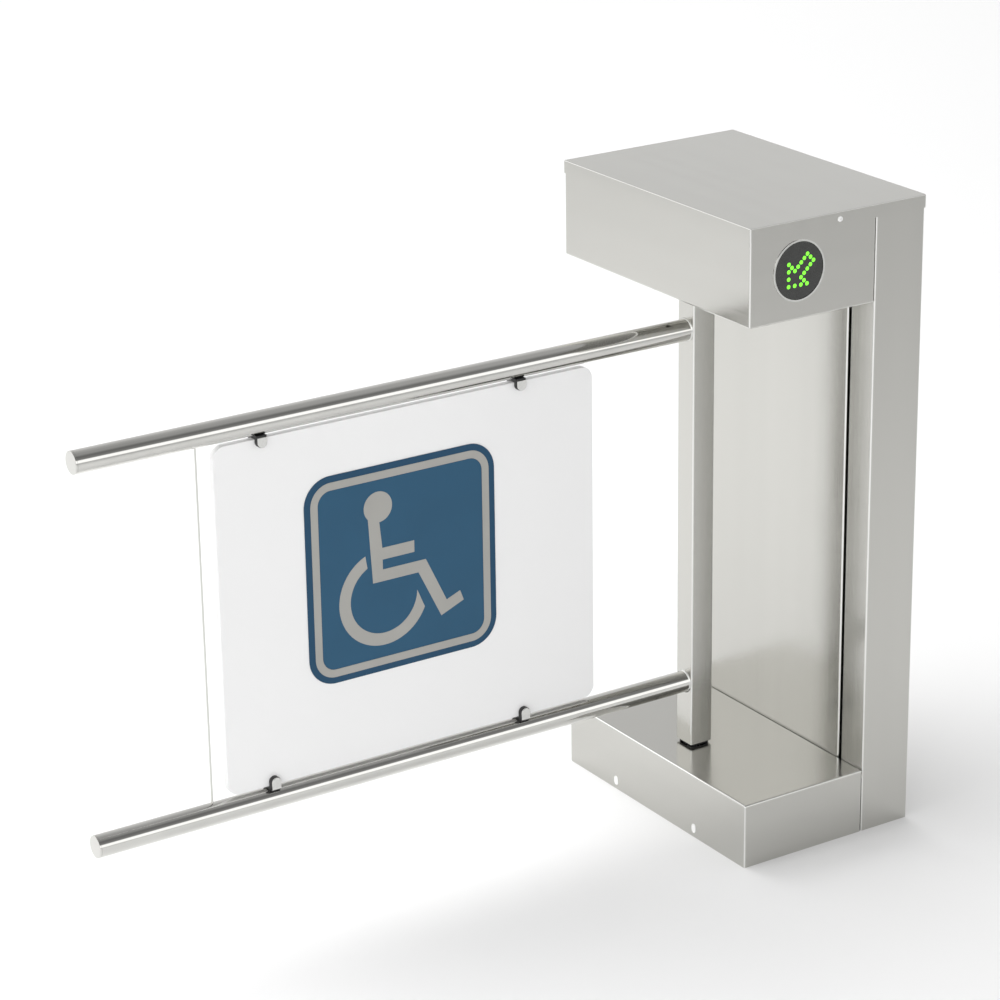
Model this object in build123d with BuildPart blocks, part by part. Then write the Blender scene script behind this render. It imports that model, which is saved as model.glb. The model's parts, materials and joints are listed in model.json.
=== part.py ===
"""Accessible swing gate: a C-shaped cabinet that swings two bars and an infill panel.

Millimetres, +Z up. The origin is on the floor, at the centre of the cabinet's footprint.
The gate at rest points along -X, square to the cabinet's front.
"""

import os
from math import acos, cos, pi, radians, sin, sqrt, tan

from build123d import *

os.makedirs("parts", exist_ok=True)

# ---- cabinet ----
cabinet_width = 316.0
cabinet_depth = 468.0
cabinet_height = 1000.0
sheet = 1.5
bend = 3.0
seam_clearance = 0.3
sheet_cut = 6.0  # deeper than any sheet that a cut goes through
column_width = 89.5
column_flange = 52.5
panel_gap = 8.0
panel_lift = 2.0
panel_drop = 1.0
return_lip = 12.0
cover_gap = 0.8
head_height = 148.0
base_height = 103.0
base_setback = 2.5
lid_lip = 19.5
lid_sheet = 1.2

# ---- frame ----
floor_plate_thickness = 6.0
anchor_spacing_x = 220.0
anchor_spacing_y = 380.0
anchor_hole = 7.0
upright_size = 40.0
upright_wall = 3.0
upright_spacing = 200.0
beam_thickness = 6.0
beam_width = 236.0
beam_flange = 26.0
beam_front = 140.0
beam_inset = 4.0
pedestal_size = 130.0
pedestal_plate = 6.0
pedestal_top = 64.0
shaft_opening = 21.0
mounting_plate_thickness = 2.0

# ---- swing post ----
post_x = -80.0
post_size = 40.0
post_wall = 3.0
post_floor_gap = 5.0
collar_size = 33.0
collar_clearance = 0.8
plug_length = 30.0
slip_clearance = 0.2
neck_radius = 14.0
boss_radius = 17.0
shaft_radius = 15.0
shaft_fit = 0.02
shaft_proud = 3.0
journal_tail = 4.0
spacer_wall = 3.0

# ---- bearings, both alike ----
ring_outer_radius = 27.5
ring_width = 13.0
ball_radius = 3.5
ball_count = 9
groove_clearance = 0.3
ring_land = 2.35
housing_radius = 33.0
housing_height = 26.0
housing_flange_radius = 49.0
housing_flange = 8.0
housing_floor = 9.0
housing_bolt_circle = 41.0
housing_bolt_radius = 4.0

# ---- drive ----
gear_module = 2.5
gear_face = 14.0
gear_teeth = 48
pinion_teeth = 16
flank_clearance = 0.15
arm_rise = 36.5
hub_height = 14.0
arm_thickness = 8.0
arm_width = 16.0
arm_reach = 62.0
hub_radius = 22.0
nut_height = 10.0
bumper_radius = 8.0
bumper_drop = 4.0
bumper_rise = 1.0
stud_proud = 2.0
bumper_offset = 54.0
stop_clearance = 0.3
gearbox_width = 56.0
gearbox_depth = 64.0
gearbox_height = 46.0
gearbox_foot = 92.0
motor_radius = 27.0
motor_length = 105.0
motor_shaft_radius = 6.0
encoder_radius = 16.0
encoder_height = 46.5
encoder_shaft_radius = 4.0
encoder_angle = 60.0
pin_fit = 0.05

# ---- gate ----
bar_radius = 16.85
bar_wall = 1.5
upper_bar_level = 781.0
lower_bar_level = 210.0
gate_reach = 1033.0
cap_thickness = 3.0
cap_spigot = 15.0
cap_chamfer = 1.0
panel_thickness = 12.0
panel_width = 630.0
panel_corner = 19.0
panel_chamfer = 0.8
panel_bar_gap = 4.65
panel_inner_distance = 193.0
clamp_width = 16.0
clamp_depth = 26.0
clamp_seat = 1.35
upper_clamp_overlap = 12.0
lower_clamp_overlap = 15.0
clamp_plate_thickness = 2.0
clamp_plate_rim = 0.6
clamp_plate_setback = 2.4
clamp_inset_outer = 74.0
clamp_inset_inner = 128.5
clamp_screw_radius = 2.0
rod_radius = 1.5
rod_distance = 846.5

# ---- sign ----
sign_size = 317.0
sign_corner = 43.0
sign_thickness = 1.5
sign_chamfer = 0.4
sign_distance = 525.3
sign_level = 523.0
graphic_thickness = 0.3
border_inset = 9.8
border_width = 11.8

# ---- indicator ----
indicator_x = -71.0
indicator_drop = 75.6
lens_radius = 43.0
bezel_radius = 46.0
bezel_thickness = 1.2
bezel_chamfer = 0.4
bezel_depth = 20.0
bezel_wall = 1.5
lens_thickness = 3.0
lens_setback = 0.6
led_radius = 3.7
led_step = 5.5
led_height = 1.4
led_proud = 0.4

# ---- worked out from the driving sizes ----
half_width = cabinet_width / 2
half_depth = cabinet_depth / 2
column_front = half_width - column_width
cover_back = column_front - cover_gap
head_bottom = cabinet_height - head_height
shell_top = cabinet_height - lid_sheet
inner_half_depth = half_depth - sheet
indicator_level = cabinet_height - indicator_drop
upright_x = half_width - sheet - upright_size / 2
beam_level = head_bottom + sheet
beam_top = beam_level + beam_thickness
arm_level = beam_top + arm_rise
gear_level = arm_level + arm_thickness + hub_height
mounting_face = upright_x - upright_size / 2 - mounting_plate_thickness
post_bottom = base_height + post_floor_gap
post_top = head_bottom - post_floor_gap
front_panel_width = cabinet_depth - 2 * (column_flange + panel_gap)
bar_start = post_x - post_size / 2
gate_end = post_x - gate_reach
panel_x = post_x - panel_inner_distance - panel_width / 2
panel_top = upper_bar_level - bar_radius - panel_bar_gap
panel_bottom = lower_bar_level + bar_radius + panel_bar_gap
gear_pitch_radius = gear_module * gear_teeth / 2
pinion_pitch_radius = gear_module * pinion_teeth / 2
centre_distance = gear_pitch_radius + pinion_pitch_radius
motor_x = post_x + centre_distance
encoder_x = post_x + centre_distance * cos(radians(encoder_angle))
encoder_y = centre_distance * sin(radians(encoder_angle))


# ======================= cabinet sheet metal =======================

with BuildPart() as column_shell:
    with BuildSketch():
        with Locations((column_front + column_width / 2, 0)):
            RectangleRounded(column_width, cabinet_depth, bend)
            Rectangle(column_width - 2 * sheet, cabinet_depth - 2 * sheet, mode=Mode.SUBTRACT)
        with Locations((column_front, 0)):
            Rectangle(sheet_cut, cabinet_depth - 2 * column_flange, mode=Mode.SUBTRACT)
        for side in (-1, 1):
            lip_y = side * (half_depth - column_flange + sheet / 2)
            with Locations((column_front + return_lip / 2, lip_y)):
                Rectangle(return_lip, sheet)
    extrude(amount=shell_top)
    with Locations((column_front, 0, floor_plate_thickness / 2)):
        Box(4 * return_lip, cabinet_depth - 2 * sheet, floor_plate_thickness + 2 * seam_clearance,
            mode=Mode.SUBTRACT)
column_shell.part.label = "column_shell"
export_step(column_shell.part, "parts/column_shell.step")

panel_foot = floor_plate_thickness + panel_lift

with BuildPart() as column_front_panel:
    with BuildSketch(Plane.XY.offset(panel_foot)):
        with Locations((column_front + return_lip / 2, 0)):
            Rectangle(return_lip, front_panel_width)
        with Locations((column_front + sheet + return_lip / 2, 0)):
            Rectangle(return_lip, front_panel_width - 2 * sheet, mode=Mode.SUBTRACT)
    extrude(amount=head_bottom - panel_drop - panel_foot)
    fillet(column_front_panel.edges().filter_by(Axis.Z).group_by(Axis.X)[1], bend - sheet)
    fillet(column_front_panel.edges().filter_by(Axis.Z).group_by(Axis.X)[0], bend)
column_front_panel.part.label = "column_front_panel"
export_step(column_front_panel.part, "parts/column_front_panel.step")

slot_width = 8.0
slot_height = 13.0
slot_level = 14.5
rivet_spacing = 209.0
base_front = base_setback - half_width
base_length = cover_back - base_front

with BuildPart() as base_cover:
    with Locations((base_front + base_length / 2, 0, base_height / 2)):
        Box(base_length, cabinet_depth, base_height)
    fillet(base_cover.edges().filter_by(Axis.Z), bend)
    fillet(base_cover.faces().sort_by(Axis.Z)[-1].edges(), bend)
    with Locations((base_front + base_length / 2, 0, (base_height - sheet) / 2)):
        Box(base_length - 2 * sheet, cabinet_depth - 2 * sheet, base_height - sheet, mode=Mode.SUBTRACT)
    with Locations((cover_back, 0, (base_height - return_lip) / 2)):
        Box(sheet_cut, cabinet_depth - 2 * return_lip, base_height - return_lip, mode=Mode.SUBTRACT)
    with Locations((cover_back, 0, floor_plate_thickness / 2)):
        Box(2 * return_lip, cabinet_depth - 2 * sheet, floor_plate_thickness + 2 * seam_clearance,
            mode=Mode.SUBTRACT)
    with Locations((post_x, 0, base_height)):
        Cylinder(shaft_opening, sheet_cut, mode=Mode.SUBTRACT)
    with BuildSketch(Plane.YZ.offset(base_front)):
        with GridLocations(rivet_spacing, 0, 2, 1):
            with Locations((0, slot_level)):
                SlotOverall(slot_height, slot_width, rotation=90)
    extrude(amount=2 * sheet, mode=Mode.SUBTRACT)
base_cover.part.label = "base_cover"
export_step(base_cover.part, "parts/base_cover.step")

head_length = cover_back + half_width
lid_screw_drop = 10.75
lid_screw_level = cabinet_height - lid_screw_drop
lid_screw_radius = 2.5

with BuildPart() as head_cover:
    with Locations((cover_back - head_length / 2, 0, (head_bottom + shell_top) / 2)):
        Box(head_length, cabinet_depth, shell_top - head_bottom)
    fillet(head_cover.edges().filter_by(Axis.Z), bend)
    fillet(head_cover.faces().sort_by(Axis.Z)[0].edges(), bend)
    with Locations((cover_back - head_length / 2, 0, (head_bottom + shell_top + sheet) / 2)):
        Box(head_length - 2 * sheet, cabinet_depth - 2 * sheet, shell_top - head_bottom - sheet,
            mode=Mode.SUBTRACT)
    with Locations((cover_back, 0, (head_bottom + shell_top + sheet) / 2)):
        Box(sheet_cut, cabinet_depth - 2 * return_lip, shell_top - head_bottom - sheet,
            mode=Mode.SUBTRACT)
    with Locations((post_x, 0, head_bottom)):
        Cylinder(shaft_opening, sheet_cut, mode=Mode.SUBTRACT)
    with BuildSketch(Plane.XZ):
        with Locations((indicator_x, indicator_level)):
            Circle(lens_radius + bezel_wall + seam_clearance)
        with Locations((0, lid_screw_level)):
            Circle(lid_screw_radius)
    extrude(amount=cabinet_depth, both=True, mode=Mode.SUBTRACT)
head_cover.part.label = "head_cover"
export_step(head_cover.part, "parts/head_cover.step")

with BuildPart() as lid:
    with Locations((0, 0, cabinet_height - lid_lip / 2)):
        Box(cabinet_width + 2 * (lid_sheet + seam_clearance),
            cabinet_depth + 2 * (lid_sheet + seam_clearance), lid_lip)
    fillet(lid.edges().filter_by(Axis.Z), bend)
    fillet(lid.faces().sort_by(Axis.Z)[-1].edges(), lid_sheet)
    with Locations((0, 0, cabinet_height - lid_sheet - lid_lip / 2)):
        Box(cabinet_width + 2 * seam_clearance, cabinet_depth + 2 * seam_clearance, lid_lip,
            mode=Mode.SUBTRACT)
    with BuildSketch(Plane.XZ):
        with Locations((0, lid_screw_level)):
            Circle(lid_screw_radius)
    extrude(amount=cabinet_depth, both=True, mode=Mode.SUBTRACT)
lid.part.label = "lid"
export_step(lid.part, "parts/lid.step")

lid_screw_head_radius = 4.2
lid_screw_head = 2.0
lid_screw_length = 12.0
lid_screw_socket = 1.5
lid_socket_depth = 1.4
lid_face = half_depth + seam_clearance + lid_sheet

with BuildPart() as lid_screws:
    with BuildSketch(Plane.XZ.offset(lid_face)):
        with Locations((0, lid_screw_level)):
            Circle(lid_screw_head_radius)
    extrude(amount=lid_screw_head)
    fillet(lid_screws.faces().sort_by(Axis.Y)[0].edges(), lid_screw_head / 2)
    with BuildSketch(Plane.XZ.offset(lid_face)):
        with Locations((0, lid_screw_level)):
            Circle(lid_screw_radius - slip_clearance)
    extrude(amount=-lid_screw_length)
    with BuildSketch(Plane.XZ.offset(lid_face + lid_screw_head)):
        with Locations((0, lid_screw_level)):
            RegularPolygon(lid_screw_socket, 6)
    extrude(amount=-lid_socket_depth, mode=Mode.SUBTRACT)
    mirror(about=Plane.XZ)
lid_screws.part.label = "lid_screws"
export_step(lid_screws.part, "parts/lid_screws.step")

# ======================= frame =======================

plate_front = base_front + sheet + seam_clearance
plate_back = half_width - sheet - seam_clearance
plate_length = plate_back - plate_front
tab_width = 30.0
tab_height = 30.0
tab_thickness = 3.0
cable_entry_x = 104.0
grommet_radius = 30.0
cable_radius = 20.0
grommet_waist = 3.0
grommet_brim = 2.0
grommet_rise = 5.0
grommet_recess = 0.5
rivet_radius = 2.5
rivet_flange = 1.0
rivet_head = 0.8
rivet_tail = 8.0

with BuildPart() as floor_plate:
    with BuildSketch():
        with Locations((plate_front + plate_length / 2, 0)):
            RectangleRounded(plate_length, 2 * (inner_half_depth - seam_clearance), 2 * bend)
        with GridLocations(anchor_spacing_x, anchor_spacing_y, 2, 2):
            Circle(anchor_hole, mode=Mode.SUBTRACT)
        with Locations((cable_entry_x, 0)):
            Circle(grommet_radius - grommet_waist, mode=Mode.SUBTRACT)
    extrude(amount=floor_plate_thickness)
    with GridLocations(0, rivet_spacing, 1, 2):
        with Locations((plate_front + tab_thickness / 2, 0, tab_height / 2)):
            Box(tab_thickness, tab_width, tab_height)
    with BuildSketch(Plane.YZ.offset(plate_front)):
        with GridLocations(rivet_spacing, 0, 2, 1):
            with Locations((0, slot_level)):
                Circle(rivet_radius + slip_clearance)
    extrude(amount=tab_thickness, mode=Mode.SUBTRACT)
floor_plate.part.label = "floor_plate"
export_step(floor_plate.part, "parts/floor_plate.step")

with BuildPart() as base_rivets:
    with BuildSketch(Plane.YZ.offset(base_front)):
        with GridLocations(rivet_spacing, 0, 2, 1):
            with Locations((0, slot_level)):
                SlotOverall(slot_height + 2 * rivet_flange, slot_width + 2 * rivet_flange, rotation=90)
    extrude(amount=-rivet_head)
    fillet(base_rivets.faces().filter_by(Axis.X).group_by(Axis.X)[0].edges(), rivet_head / 2)
    with BuildSketch(Plane.YZ.offset(base_front)):
        with GridLocations(rivet_spacing, 0, 2, 1):
            with Locations((0, slot_level)):
                SlotOverall(slot_height - 2 * slip_clearance, slot_width - 2 * slip_clearance, rotation=90)
    extrude(amount=plate_front - base_front)
    with BuildSketch(Plane.YZ.offset(plate_front)):
        with GridLocations(rivet_spacing, 0, 2, 1):
            with Locations((0, slot_level)):
                Circle(rivet_radius)
    extrude(amount=tab_thickness + rivet_tail)
base_rivets.part.label = "base_rivets"
export_step(base_rivets.part, "parts/base_rivets.step")

with BuildPart() as cable_grommet:
    with BuildSketch(Plane.XZ):
        with BuildLine():
            waist_x = cable_entry_x + grommet_radius - grommet_waist
            brim_x = cable_entry_x + grommet_radius + grommet_brim
            Polyline(
                (cable_entry_x + cable_radius, grommet_recess),
                (waist_x, grommet_recess),
                (waist_x, floor_plate_thickness),
                (brim_x, floor_plate_thickness),
                (brim_x, floor_plate_thickness + grommet_rise),
                (cable_entry_x + cable_radius, floor_plate_thickness + grommet_rise),
                close=True,
            )
        make_face()
    revolve(axis=Axis((cable_entry_x, 0, 0), (0, 0, 1)))
cable_grommet.part.label = "cable_grommet"
export_step(cable_grommet.part, "parts/cable_grommet.step")

for side, hand in ((-1, "right"), (1, "left")):
    with BuildPart() as upright:
        with BuildSketch(Plane.XY.offset(floor_plate_thickness)):
            with Locations((upright_x, side * upright_spacing / 2)):
                RectangleRounded(upright_size, upright_size, upright_wall)
                Rectangle(upright_size - 2 * upright_wall, upright_size - 2 * upright_wall,
                          mode=Mode.SUBTRACT)
        extrude(amount=beam_level - floor_plate_thickness)
    upright.part.label = f"frame_upright_{hand}"
    export_step(upright.part, f"parts/frame_upright_{hand}.step")

gearbox_bolt_x = 40.0
gearbox_bolt_y = 78.0
gearbox_bolt_radius = 3.0
beam_back = upright_x + upright_size / 2 - beam_inset
beam_length = beam_back + beam_front

with BuildPart() as head_beam:
    with BuildSketch(Plane.XY.offset(beam_level)):
        with Locations((beam_back - beam_length / 2, 0)):
            Rectangle(beam_length, beam_width)
        with Locations((post_x, 0)):
            Circle(shaft_opening, mode=Mode.SUBTRACT)
            with PolarLocations(housing_bolt_circle, 4, start_angle=45):
                Circle(housing_bolt_radius + slip_clearance, mode=Mode.SUBTRACT)
        with Locations((motor_x, 0)):
            with GridLocations(gearbox_bolt_x, gearbox_bolt_y, 2, 2):
                Circle(gearbox_bolt_radius + slip_clearance, mode=Mode.SUBTRACT)
    extrude(amount=beam_thickness)
    with GridLocations(0, beam_width - upright_wall, 1, 2):
        with Locations((beam_back - beam_length / 2, 0, beam_level + beam_flange / 2)):
            Box(beam_length, upright_wall, beam_flange)
head_beam.part.label = "head_beam"
export_step(head_beam.part, "parts/head_beam.step")

with BuildPart() as lower_pedestal:
    with BuildSketch(Plane.XY.offset(pedestal_top - pedestal_plate)):
        with Locations((post_x, 0)):
            Rectangle(pedestal_size - 2 * seam_clearance, pedestal_size)
            Circle(shaft_opening, mode=Mode.SUBTRACT)
            with PolarLocations(housing_bolt_circle, 4, start_angle=45):
                Circle(housing_bolt_radius + slip_clearance, mode=Mode.SUBTRACT)
    extrude(amount=pedestal_plate)
    with GridLocations(0, pedestal_size - pedestal_plate, 1, 2):
        with Locations((post_x, 0, (pedestal_top + floor_plate_thickness) / 2)):
            Box(pedestal_size - 2 * seam_clearance, pedestal_plate,
                pedestal_top - floor_plate_thickness)
lower_pedestal.part.label = "lower_pedestal"
export_step(lower_pedestal.part, "parts/lower_pedestal.step")

bracket_levels = (110.0, 700.0)
bracket_width = 20.0
bracket_foot = 16.0

with BuildPart() as panel_brackets:
    for level in bracket_levels:
        for side in (-1, 1):
            with BuildSketch(Plane.XY.offset(level)):
                with BuildLine():
                    start = column_front + sheet
                    end = upright_x - upright_size / 2
                    inner_y = side * (upright_spacing / 2 - upright_wall)
                    Polyline(
                        (start, inner_y + side * bracket_foot),
                        (start, inner_y),
                        (end, inner_y),
                        (end, inner_y + side * bracket_foot),
                        (end - upright_wall, inner_y + side * bracket_foot),
                        (end - upright_wall, inner_y + side * upright_wall),
                        (start + upright_wall, inner_y + side * upright_wall),
                        (start + upright_wall, inner_y + side * bracket_foot),
                        close=True,
                    )
                make_face()
            extrude(amount=bracket_width)
panel_brackets.part.label = "panel_brackets"
export_step(panel_brackets.part, "parts/panel_brackets.step")

# ======================= bearings =======================

ball_circle = (shaft_radius + ring_outer_radius) / 2
groove_radius = ball_radius + groove_clearance
inner_ring_radius = ball_circle - ring_land
outer_ring_inner_radius = ball_circle + ring_land

for name, housing_level in (("lower", pedestal_top), ("upper", beam_top)):
    ring_bottom = housing_level + housing_floor
    ring_middle = ring_bottom + ring_width / 2

    with BuildPart() as housing:
        with Locations((post_x, 0, housing_level)):
            Cylinder(housing_flange_radius, housing_flange, align=(Align.CENTER, Align.CENTER, Align.MIN))
            Cylinder(housing_radius, housing_height, align=(Align.CENTER, Align.CENTER, Align.MIN))
        with Locations((post_x, 0, ring_bottom)):
            Cylinder(ring_outer_radius, housing_height, align=(Align.CENTER, Align.CENTER, Align.MIN),
                     mode=Mode.SUBTRACT)
        with Locations((post_x, 0, housing_level)):
            Cylinder(shaft_opening, housing_height, align=(Align.CENTER, Align.CENTER, Align.MIN),
                     mode=Mode.SUBTRACT)
            with PolarLocations(housing_bolt_circle, 4, start_angle=45):
                Cylinder(housing_bolt_radius + slip_clearance, 2 * housing_height, mode=Mode.SUBTRACT)
    housing.part.label = f"{name}_bearing_housing"
    export_step(housing.part, f"parts/{name}_bearing_housing.step")

    with BuildPart() as outer_ring:
        with BuildSketch(Plane.XZ):
            with Locations((post_x + (outer_ring_inner_radius + ring_outer_radius) / 2, ring_middle)):
                Rectangle(ring_outer_radius - outer_ring_inner_radius, ring_width)
            with Locations((post_x + ball_circle, ring_middle)):
                Circle(groove_radius, mode=Mode.SUBTRACT)
        revolve(axis=Axis((post_x, 0, 0), (0, 0, 1)))
    outer_ring.part.label = f"{name}_bearing_outer_ring"
    export_step(outer_ring.part, f"parts/{name}_bearing_outer_ring.step")

    with BuildPart() as inner_ring:
        with BuildSketch(Plane.XZ):
            with Locations((post_x + (shaft_radius + inner_ring_radius) / 2, ring_middle)):
                Rectangle(inner_ring_radius - shaft_radius, ring_width)
            with Locations((post_x + ball_circle, ring_middle)):
                Circle(groove_radius, mode=Mode.SUBTRACT)
        revolve(axis=Axis((post_x, 0, 0), (0, 0, 1)))
    inner_ring.part.label = f"{name}_bearing_inner_ring"
    export_step(inner_ring.part, f"parts/{name}_bearing_inner_ring.step")

    with BuildPart() as balls:
        with Locations((post_x, 0, ring_middle)):
            with PolarLocations(ball_circle, ball_count):
                Sphere(ball_radius)
    balls.part.label = f"{name}_bearing_balls"
    export_step(balls.part, f"parts/{name}_bearing_balls.step")

bolt_head_width = 13.0
bolt_head = 5.5

with BuildPart() as housing_bolts:
    for housing_level in (pedestal_top, beam_top):
        head_level = housing_level + housing_flange
        with BuildSketch(Plane.XY.offset(head_level)):
            with Locations((post_x, 0)):
                with PolarLocations(housing_bolt_circle, 4, start_angle=45):
                    RegularPolygon(bolt_head_width / 2, 6, major_radius=False)
        extrude(amount=bolt_head)
        with BuildSketch(Plane.XY.offset(head_level)):
            with Locations((post_x, 0)):
                with PolarLocations(housing_bolt_circle, 4, start_angle=45):
                    Circle(housing_bolt_radius)
        extrude(amount=-housing_flange - beam_thickness)
housing_bolts.part.label = "housing_bolts"
export_step(housing_bolts.part, "parts/housing_bolts.step")

# ======================= swing post =======================

with BuildPart() as post_tube:
    with BuildSketch(Plane.XY.offset(post_bottom)):
        with Locations((post_x, 0)):
            RectangleRounded(post_size, post_size, post_wall)
            Rectangle(post_size - 2 * post_wall, post_size - 2 * post_wall, mode=Mode.SUBTRACT)
    extrude(amount=post_top - post_bottom)
post_tube.part.label = "post_tube"
export_step(post_tube.part, "parts/post_tube.step")

plug_size = post_size - 2 * post_wall - 2 * slip_clearance
lower_ring_top = pedestal_top + housing_floor + ring_width
upper_ring_bottom = beam_top + housing_floor
upper_ring_top = upper_ring_bottom + ring_width
shaft_top = gear_level + gear_face + nut_height + shaft_proud
collar_thickness = post_floor_gap - collar_clearance

with BuildPart() as lower_journal:
    with BuildSketch(Plane.XY.offset(post_bottom)):
        with Locations((post_x, 0)):
            Rectangle(plug_size, plug_size)
    extrude(amount=plug_length)
    with Locations((post_x, 0, lower_ring_top)):
        Cylinder(boss_radius, post_bottom - collar_thickness - lower_ring_top,
                 align=(Align.CENTER, Align.CENTER, Align.MIN))
        Cylinder(neck_radius, post_bottom - lower_ring_top, align=(Align.CENTER, Align.CENTER, Align.MIN))
        Cylinder(shaft_radius - shaft_fit, ring_width + housing_floor + journal_tail,
                 align=(Align.CENTER, Align.CENTER, Align.MAX))
lower_journal.part.label = "lower_journal"
export_step(lower_journal.part, "parts/lower_journal.step")

with BuildPart() as upper_journal:
    with BuildSketch(Plane.XY.offset(post_top)):
        with Locations((post_x, 0)):
            Rectangle(plug_size, plug_size)
    extrude(amount=-plug_length)
    with Locations((post_x, 0, post_top)):
        Cylinder(neck_radius, collar_thickness, align=(Align.CENTER, Align.CENTER, Align.MIN))
    with Locations((post_x, 0, post_top + collar_thickness)):
        Cylinder(boss_radius, upper_ring_bottom - post_top - collar_thickness,
                 align=(Align.CENTER, Align.CENTER, Align.MIN))
        Cylinder(shaft_radius - shaft_fit, shaft_top - post_top - collar_thickness,
                 align=(Align.CENTER, Align.CENTER, Align.MIN))
upper_journal.part.label = "upper_journal"
export_step(upper_journal.part, "parts/upper_journal.step")

with BuildPart() as post_collars:
    for level in (post_bottom - collar_thickness, post_top):
        with BuildSketch(Plane.XY.offset(level)):
            with Locations((post_x, 0)):
                RectangleRounded(collar_size, collar_size, post_wall / 2)
                Circle(neck_radius + shaft_fit, mode=Mode.SUBTRACT)
        extrude(amount=collar_thickness)
post_collars.part.label = "post_collars"
export_step(post_collars.part, "parts/post_collars.step")

# ======================= drive =======================


pressure_angle = 20.0
tooth_addendum = 0.9
tooth_dedendum = 1.25
tooth_sink = 0.1
flank_steps = 4


def tooth_sketch(teeth, turn):
    """One involute tooth, centred on the direction `turn`, long enough to sink into its root disc."""
    pressure = radians(pressure_angle)
    pitch_radius = gear_module * teeth / 2
    base_radius = pitch_radius * cos(pressure)
    tip_radius = pitch_radius + tooth_addendum * gear_module
    foot_radius = pitch_radius - (tooth_dedendum + tooth_sink) * gear_module
    half_angle = pi / (2 * teeth) + tan(pressure) - pressure - flank_clearance / pitch_radius

    def flank(radius, side):
        away = sqrt(max((radius / base_radius) ** 2 - 1, 0))
        angle = side * (half_angle - (away - acos(min(base_radius / radius, 1)))) + radians(turn)
        return (radius * cos(angle), radius * sin(angle))

    start_radius = max(base_radius, foot_radius + tooth_sink * gear_module)
    radii = [start_radius + (tip_radius - start_radius) * step / flank_steps
             for step in range(flank_steps + 1)]
    with BuildSketch() as tooth:
        with BuildLine():
            foot = [(foot_radius * cos(radians(turn) + side * half_angle),
                     foot_radius * sin(radians(turn) + side * half_angle)) for side in (-1, 1)]
            lower = Spline([flank(radius, -1) for radius in radii])
            upper = Spline([flank(radius, 1) for radius in radii])
            Line(foot[0], lower @ 0)
            Line(foot[1], upper @ 0)
            Line(foot[0], foot[1])
            Line(lower @ 1, upper @ 1)
        make_face()
    return tooth.sketch


def gear_sketch(teeth, turn):
    """A spur gear's outline about the local origin, with one tooth centred on `turn`."""
    with BuildSketch() as outline:
        Circle(gear_module * (teeth / 2 - tooth_dedendum))
        for tooth in range(teeth):
            add(tooth_sketch(teeth, turn + 360 * tooth / teeth))
    return outline.sketch


lightening_holes = 6
lightening_radius = 11.0
lightening_circle = 40.0

with BuildPart() as drive_gear:
    with BuildSketch(Plane((post_x, 0, gear_level))):
        add(gear_sketch(gear_teeth, 0))
        with PolarLocations(lightening_circle, lightening_holes):
            Circle(lightening_radius, mode=Mode.SUBTRACT)
    extrude(amount=gear_face)
    with Locations((post_x, 0, arm_level + arm_thickness)):
        Cylinder(hub_radius, hub_height, align=(Align.CENTER, Align.CENTER, Align.MIN))
    with Locations((post_x, 0, gear_level)):
        Cylinder(shaft_radius, 2 * (gear_face + hub_height), mode=Mode.SUBTRACT)
drive_gear.part.label = "drive_gear"
export_step(drive_gear.part, "parts/drive_gear.step")

with BuildPart() as shaft_spacer:
    with BuildSketch(Plane.XY.offset(upper_ring_top)):
        with Locations((post_x, 0)):
            Circle(shaft_radius + spacer_wall)
            Circle(shaft_radius, mode=Mode.SUBTRACT)
    extrude(amount=arm_level - upper_ring_top)
shaft_spacer.part.label = "shaft_spacer"
export_step(shaft_spacer.part, "parts/shaft_spacer.step")

with BuildPart() as stop_arm:
    with BuildSketch(Plane.XY.offset(arm_level)):
        with Locations((post_x, 0)):
            Circle(hub_radius)
        with Locations((post_x - arm_reach / 2, 0)):
            Rectangle(arm_reach, arm_width)
        with Locations((post_x, 0)):
            Circle(shaft_radius, mode=Mode.SUBTRACT)
    extrude(amount=arm_thickness)
stop_arm.part.label = "stop_arm"
export_step(stop_arm.part, "parts/stop_arm.step")

with BuildPart() as shaft_nut:
    with BuildSketch(Plane.XY.offset(gear_level + gear_face)):
        with Locations((post_x, 0)):
            RegularPolygon(hub_radius, 6, major_radius=False)
            Circle(shaft_radius, mode=Mode.SUBTRACT)
    extrude(amount=nut_height)
shaft_nut.part.label = "shaft_nut"
export_step(shaft_nut.part, "parts/shaft_nut.step")

pinion_turn = 180 - 180 / pinion_teeth
shaft_socket = 15.0
socket_gap = 1.0
shaft_end_proud = 2.0
shaft_end = gear_level + gear_face + shaft_end_proud
gearbox_top = beam_top + gearbox_height
gearbox_nose = 6.0
gearbox_nose_radius = 14.0
gearbox_corner = 6.0
gearbox_edge = 2.0
gearbox_foot_corner = 5.0
gearbox_foot_thickness = 6.0
gearbox_bolt_head_radius = 4.8
gearbox_bolt_head = 4.0
motor_lift = 0.5
motor_chamfer = 2.0
encoder_foot = 3.0
encoder_foot_thickness = 4.0
encoder_chamfer = 1.0

with BuildPart() as motor_pinion:
    with BuildSketch(Plane((motor_x, 0, gear_level))):
        add(gear_sketch(pinion_teeth, pinion_turn))
    extrude(amount=gear_face)
    motor_shaft_foot = gearbox_top + gearbox_nose - shaft_socket + socket_gap
    with Locations((motor_x, 0, motor_shaft_foot)):
        Cylinder(motor_shaft_radius, shaft_end - motor_shaft_foot,
                 align=(Align.CENTER, Align.CENTER, Align.MIN))
motor_pinion.part.label = "motor_pinion"
export_step(motor_pinion.part, "parts/motor_pinion.step")

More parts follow.
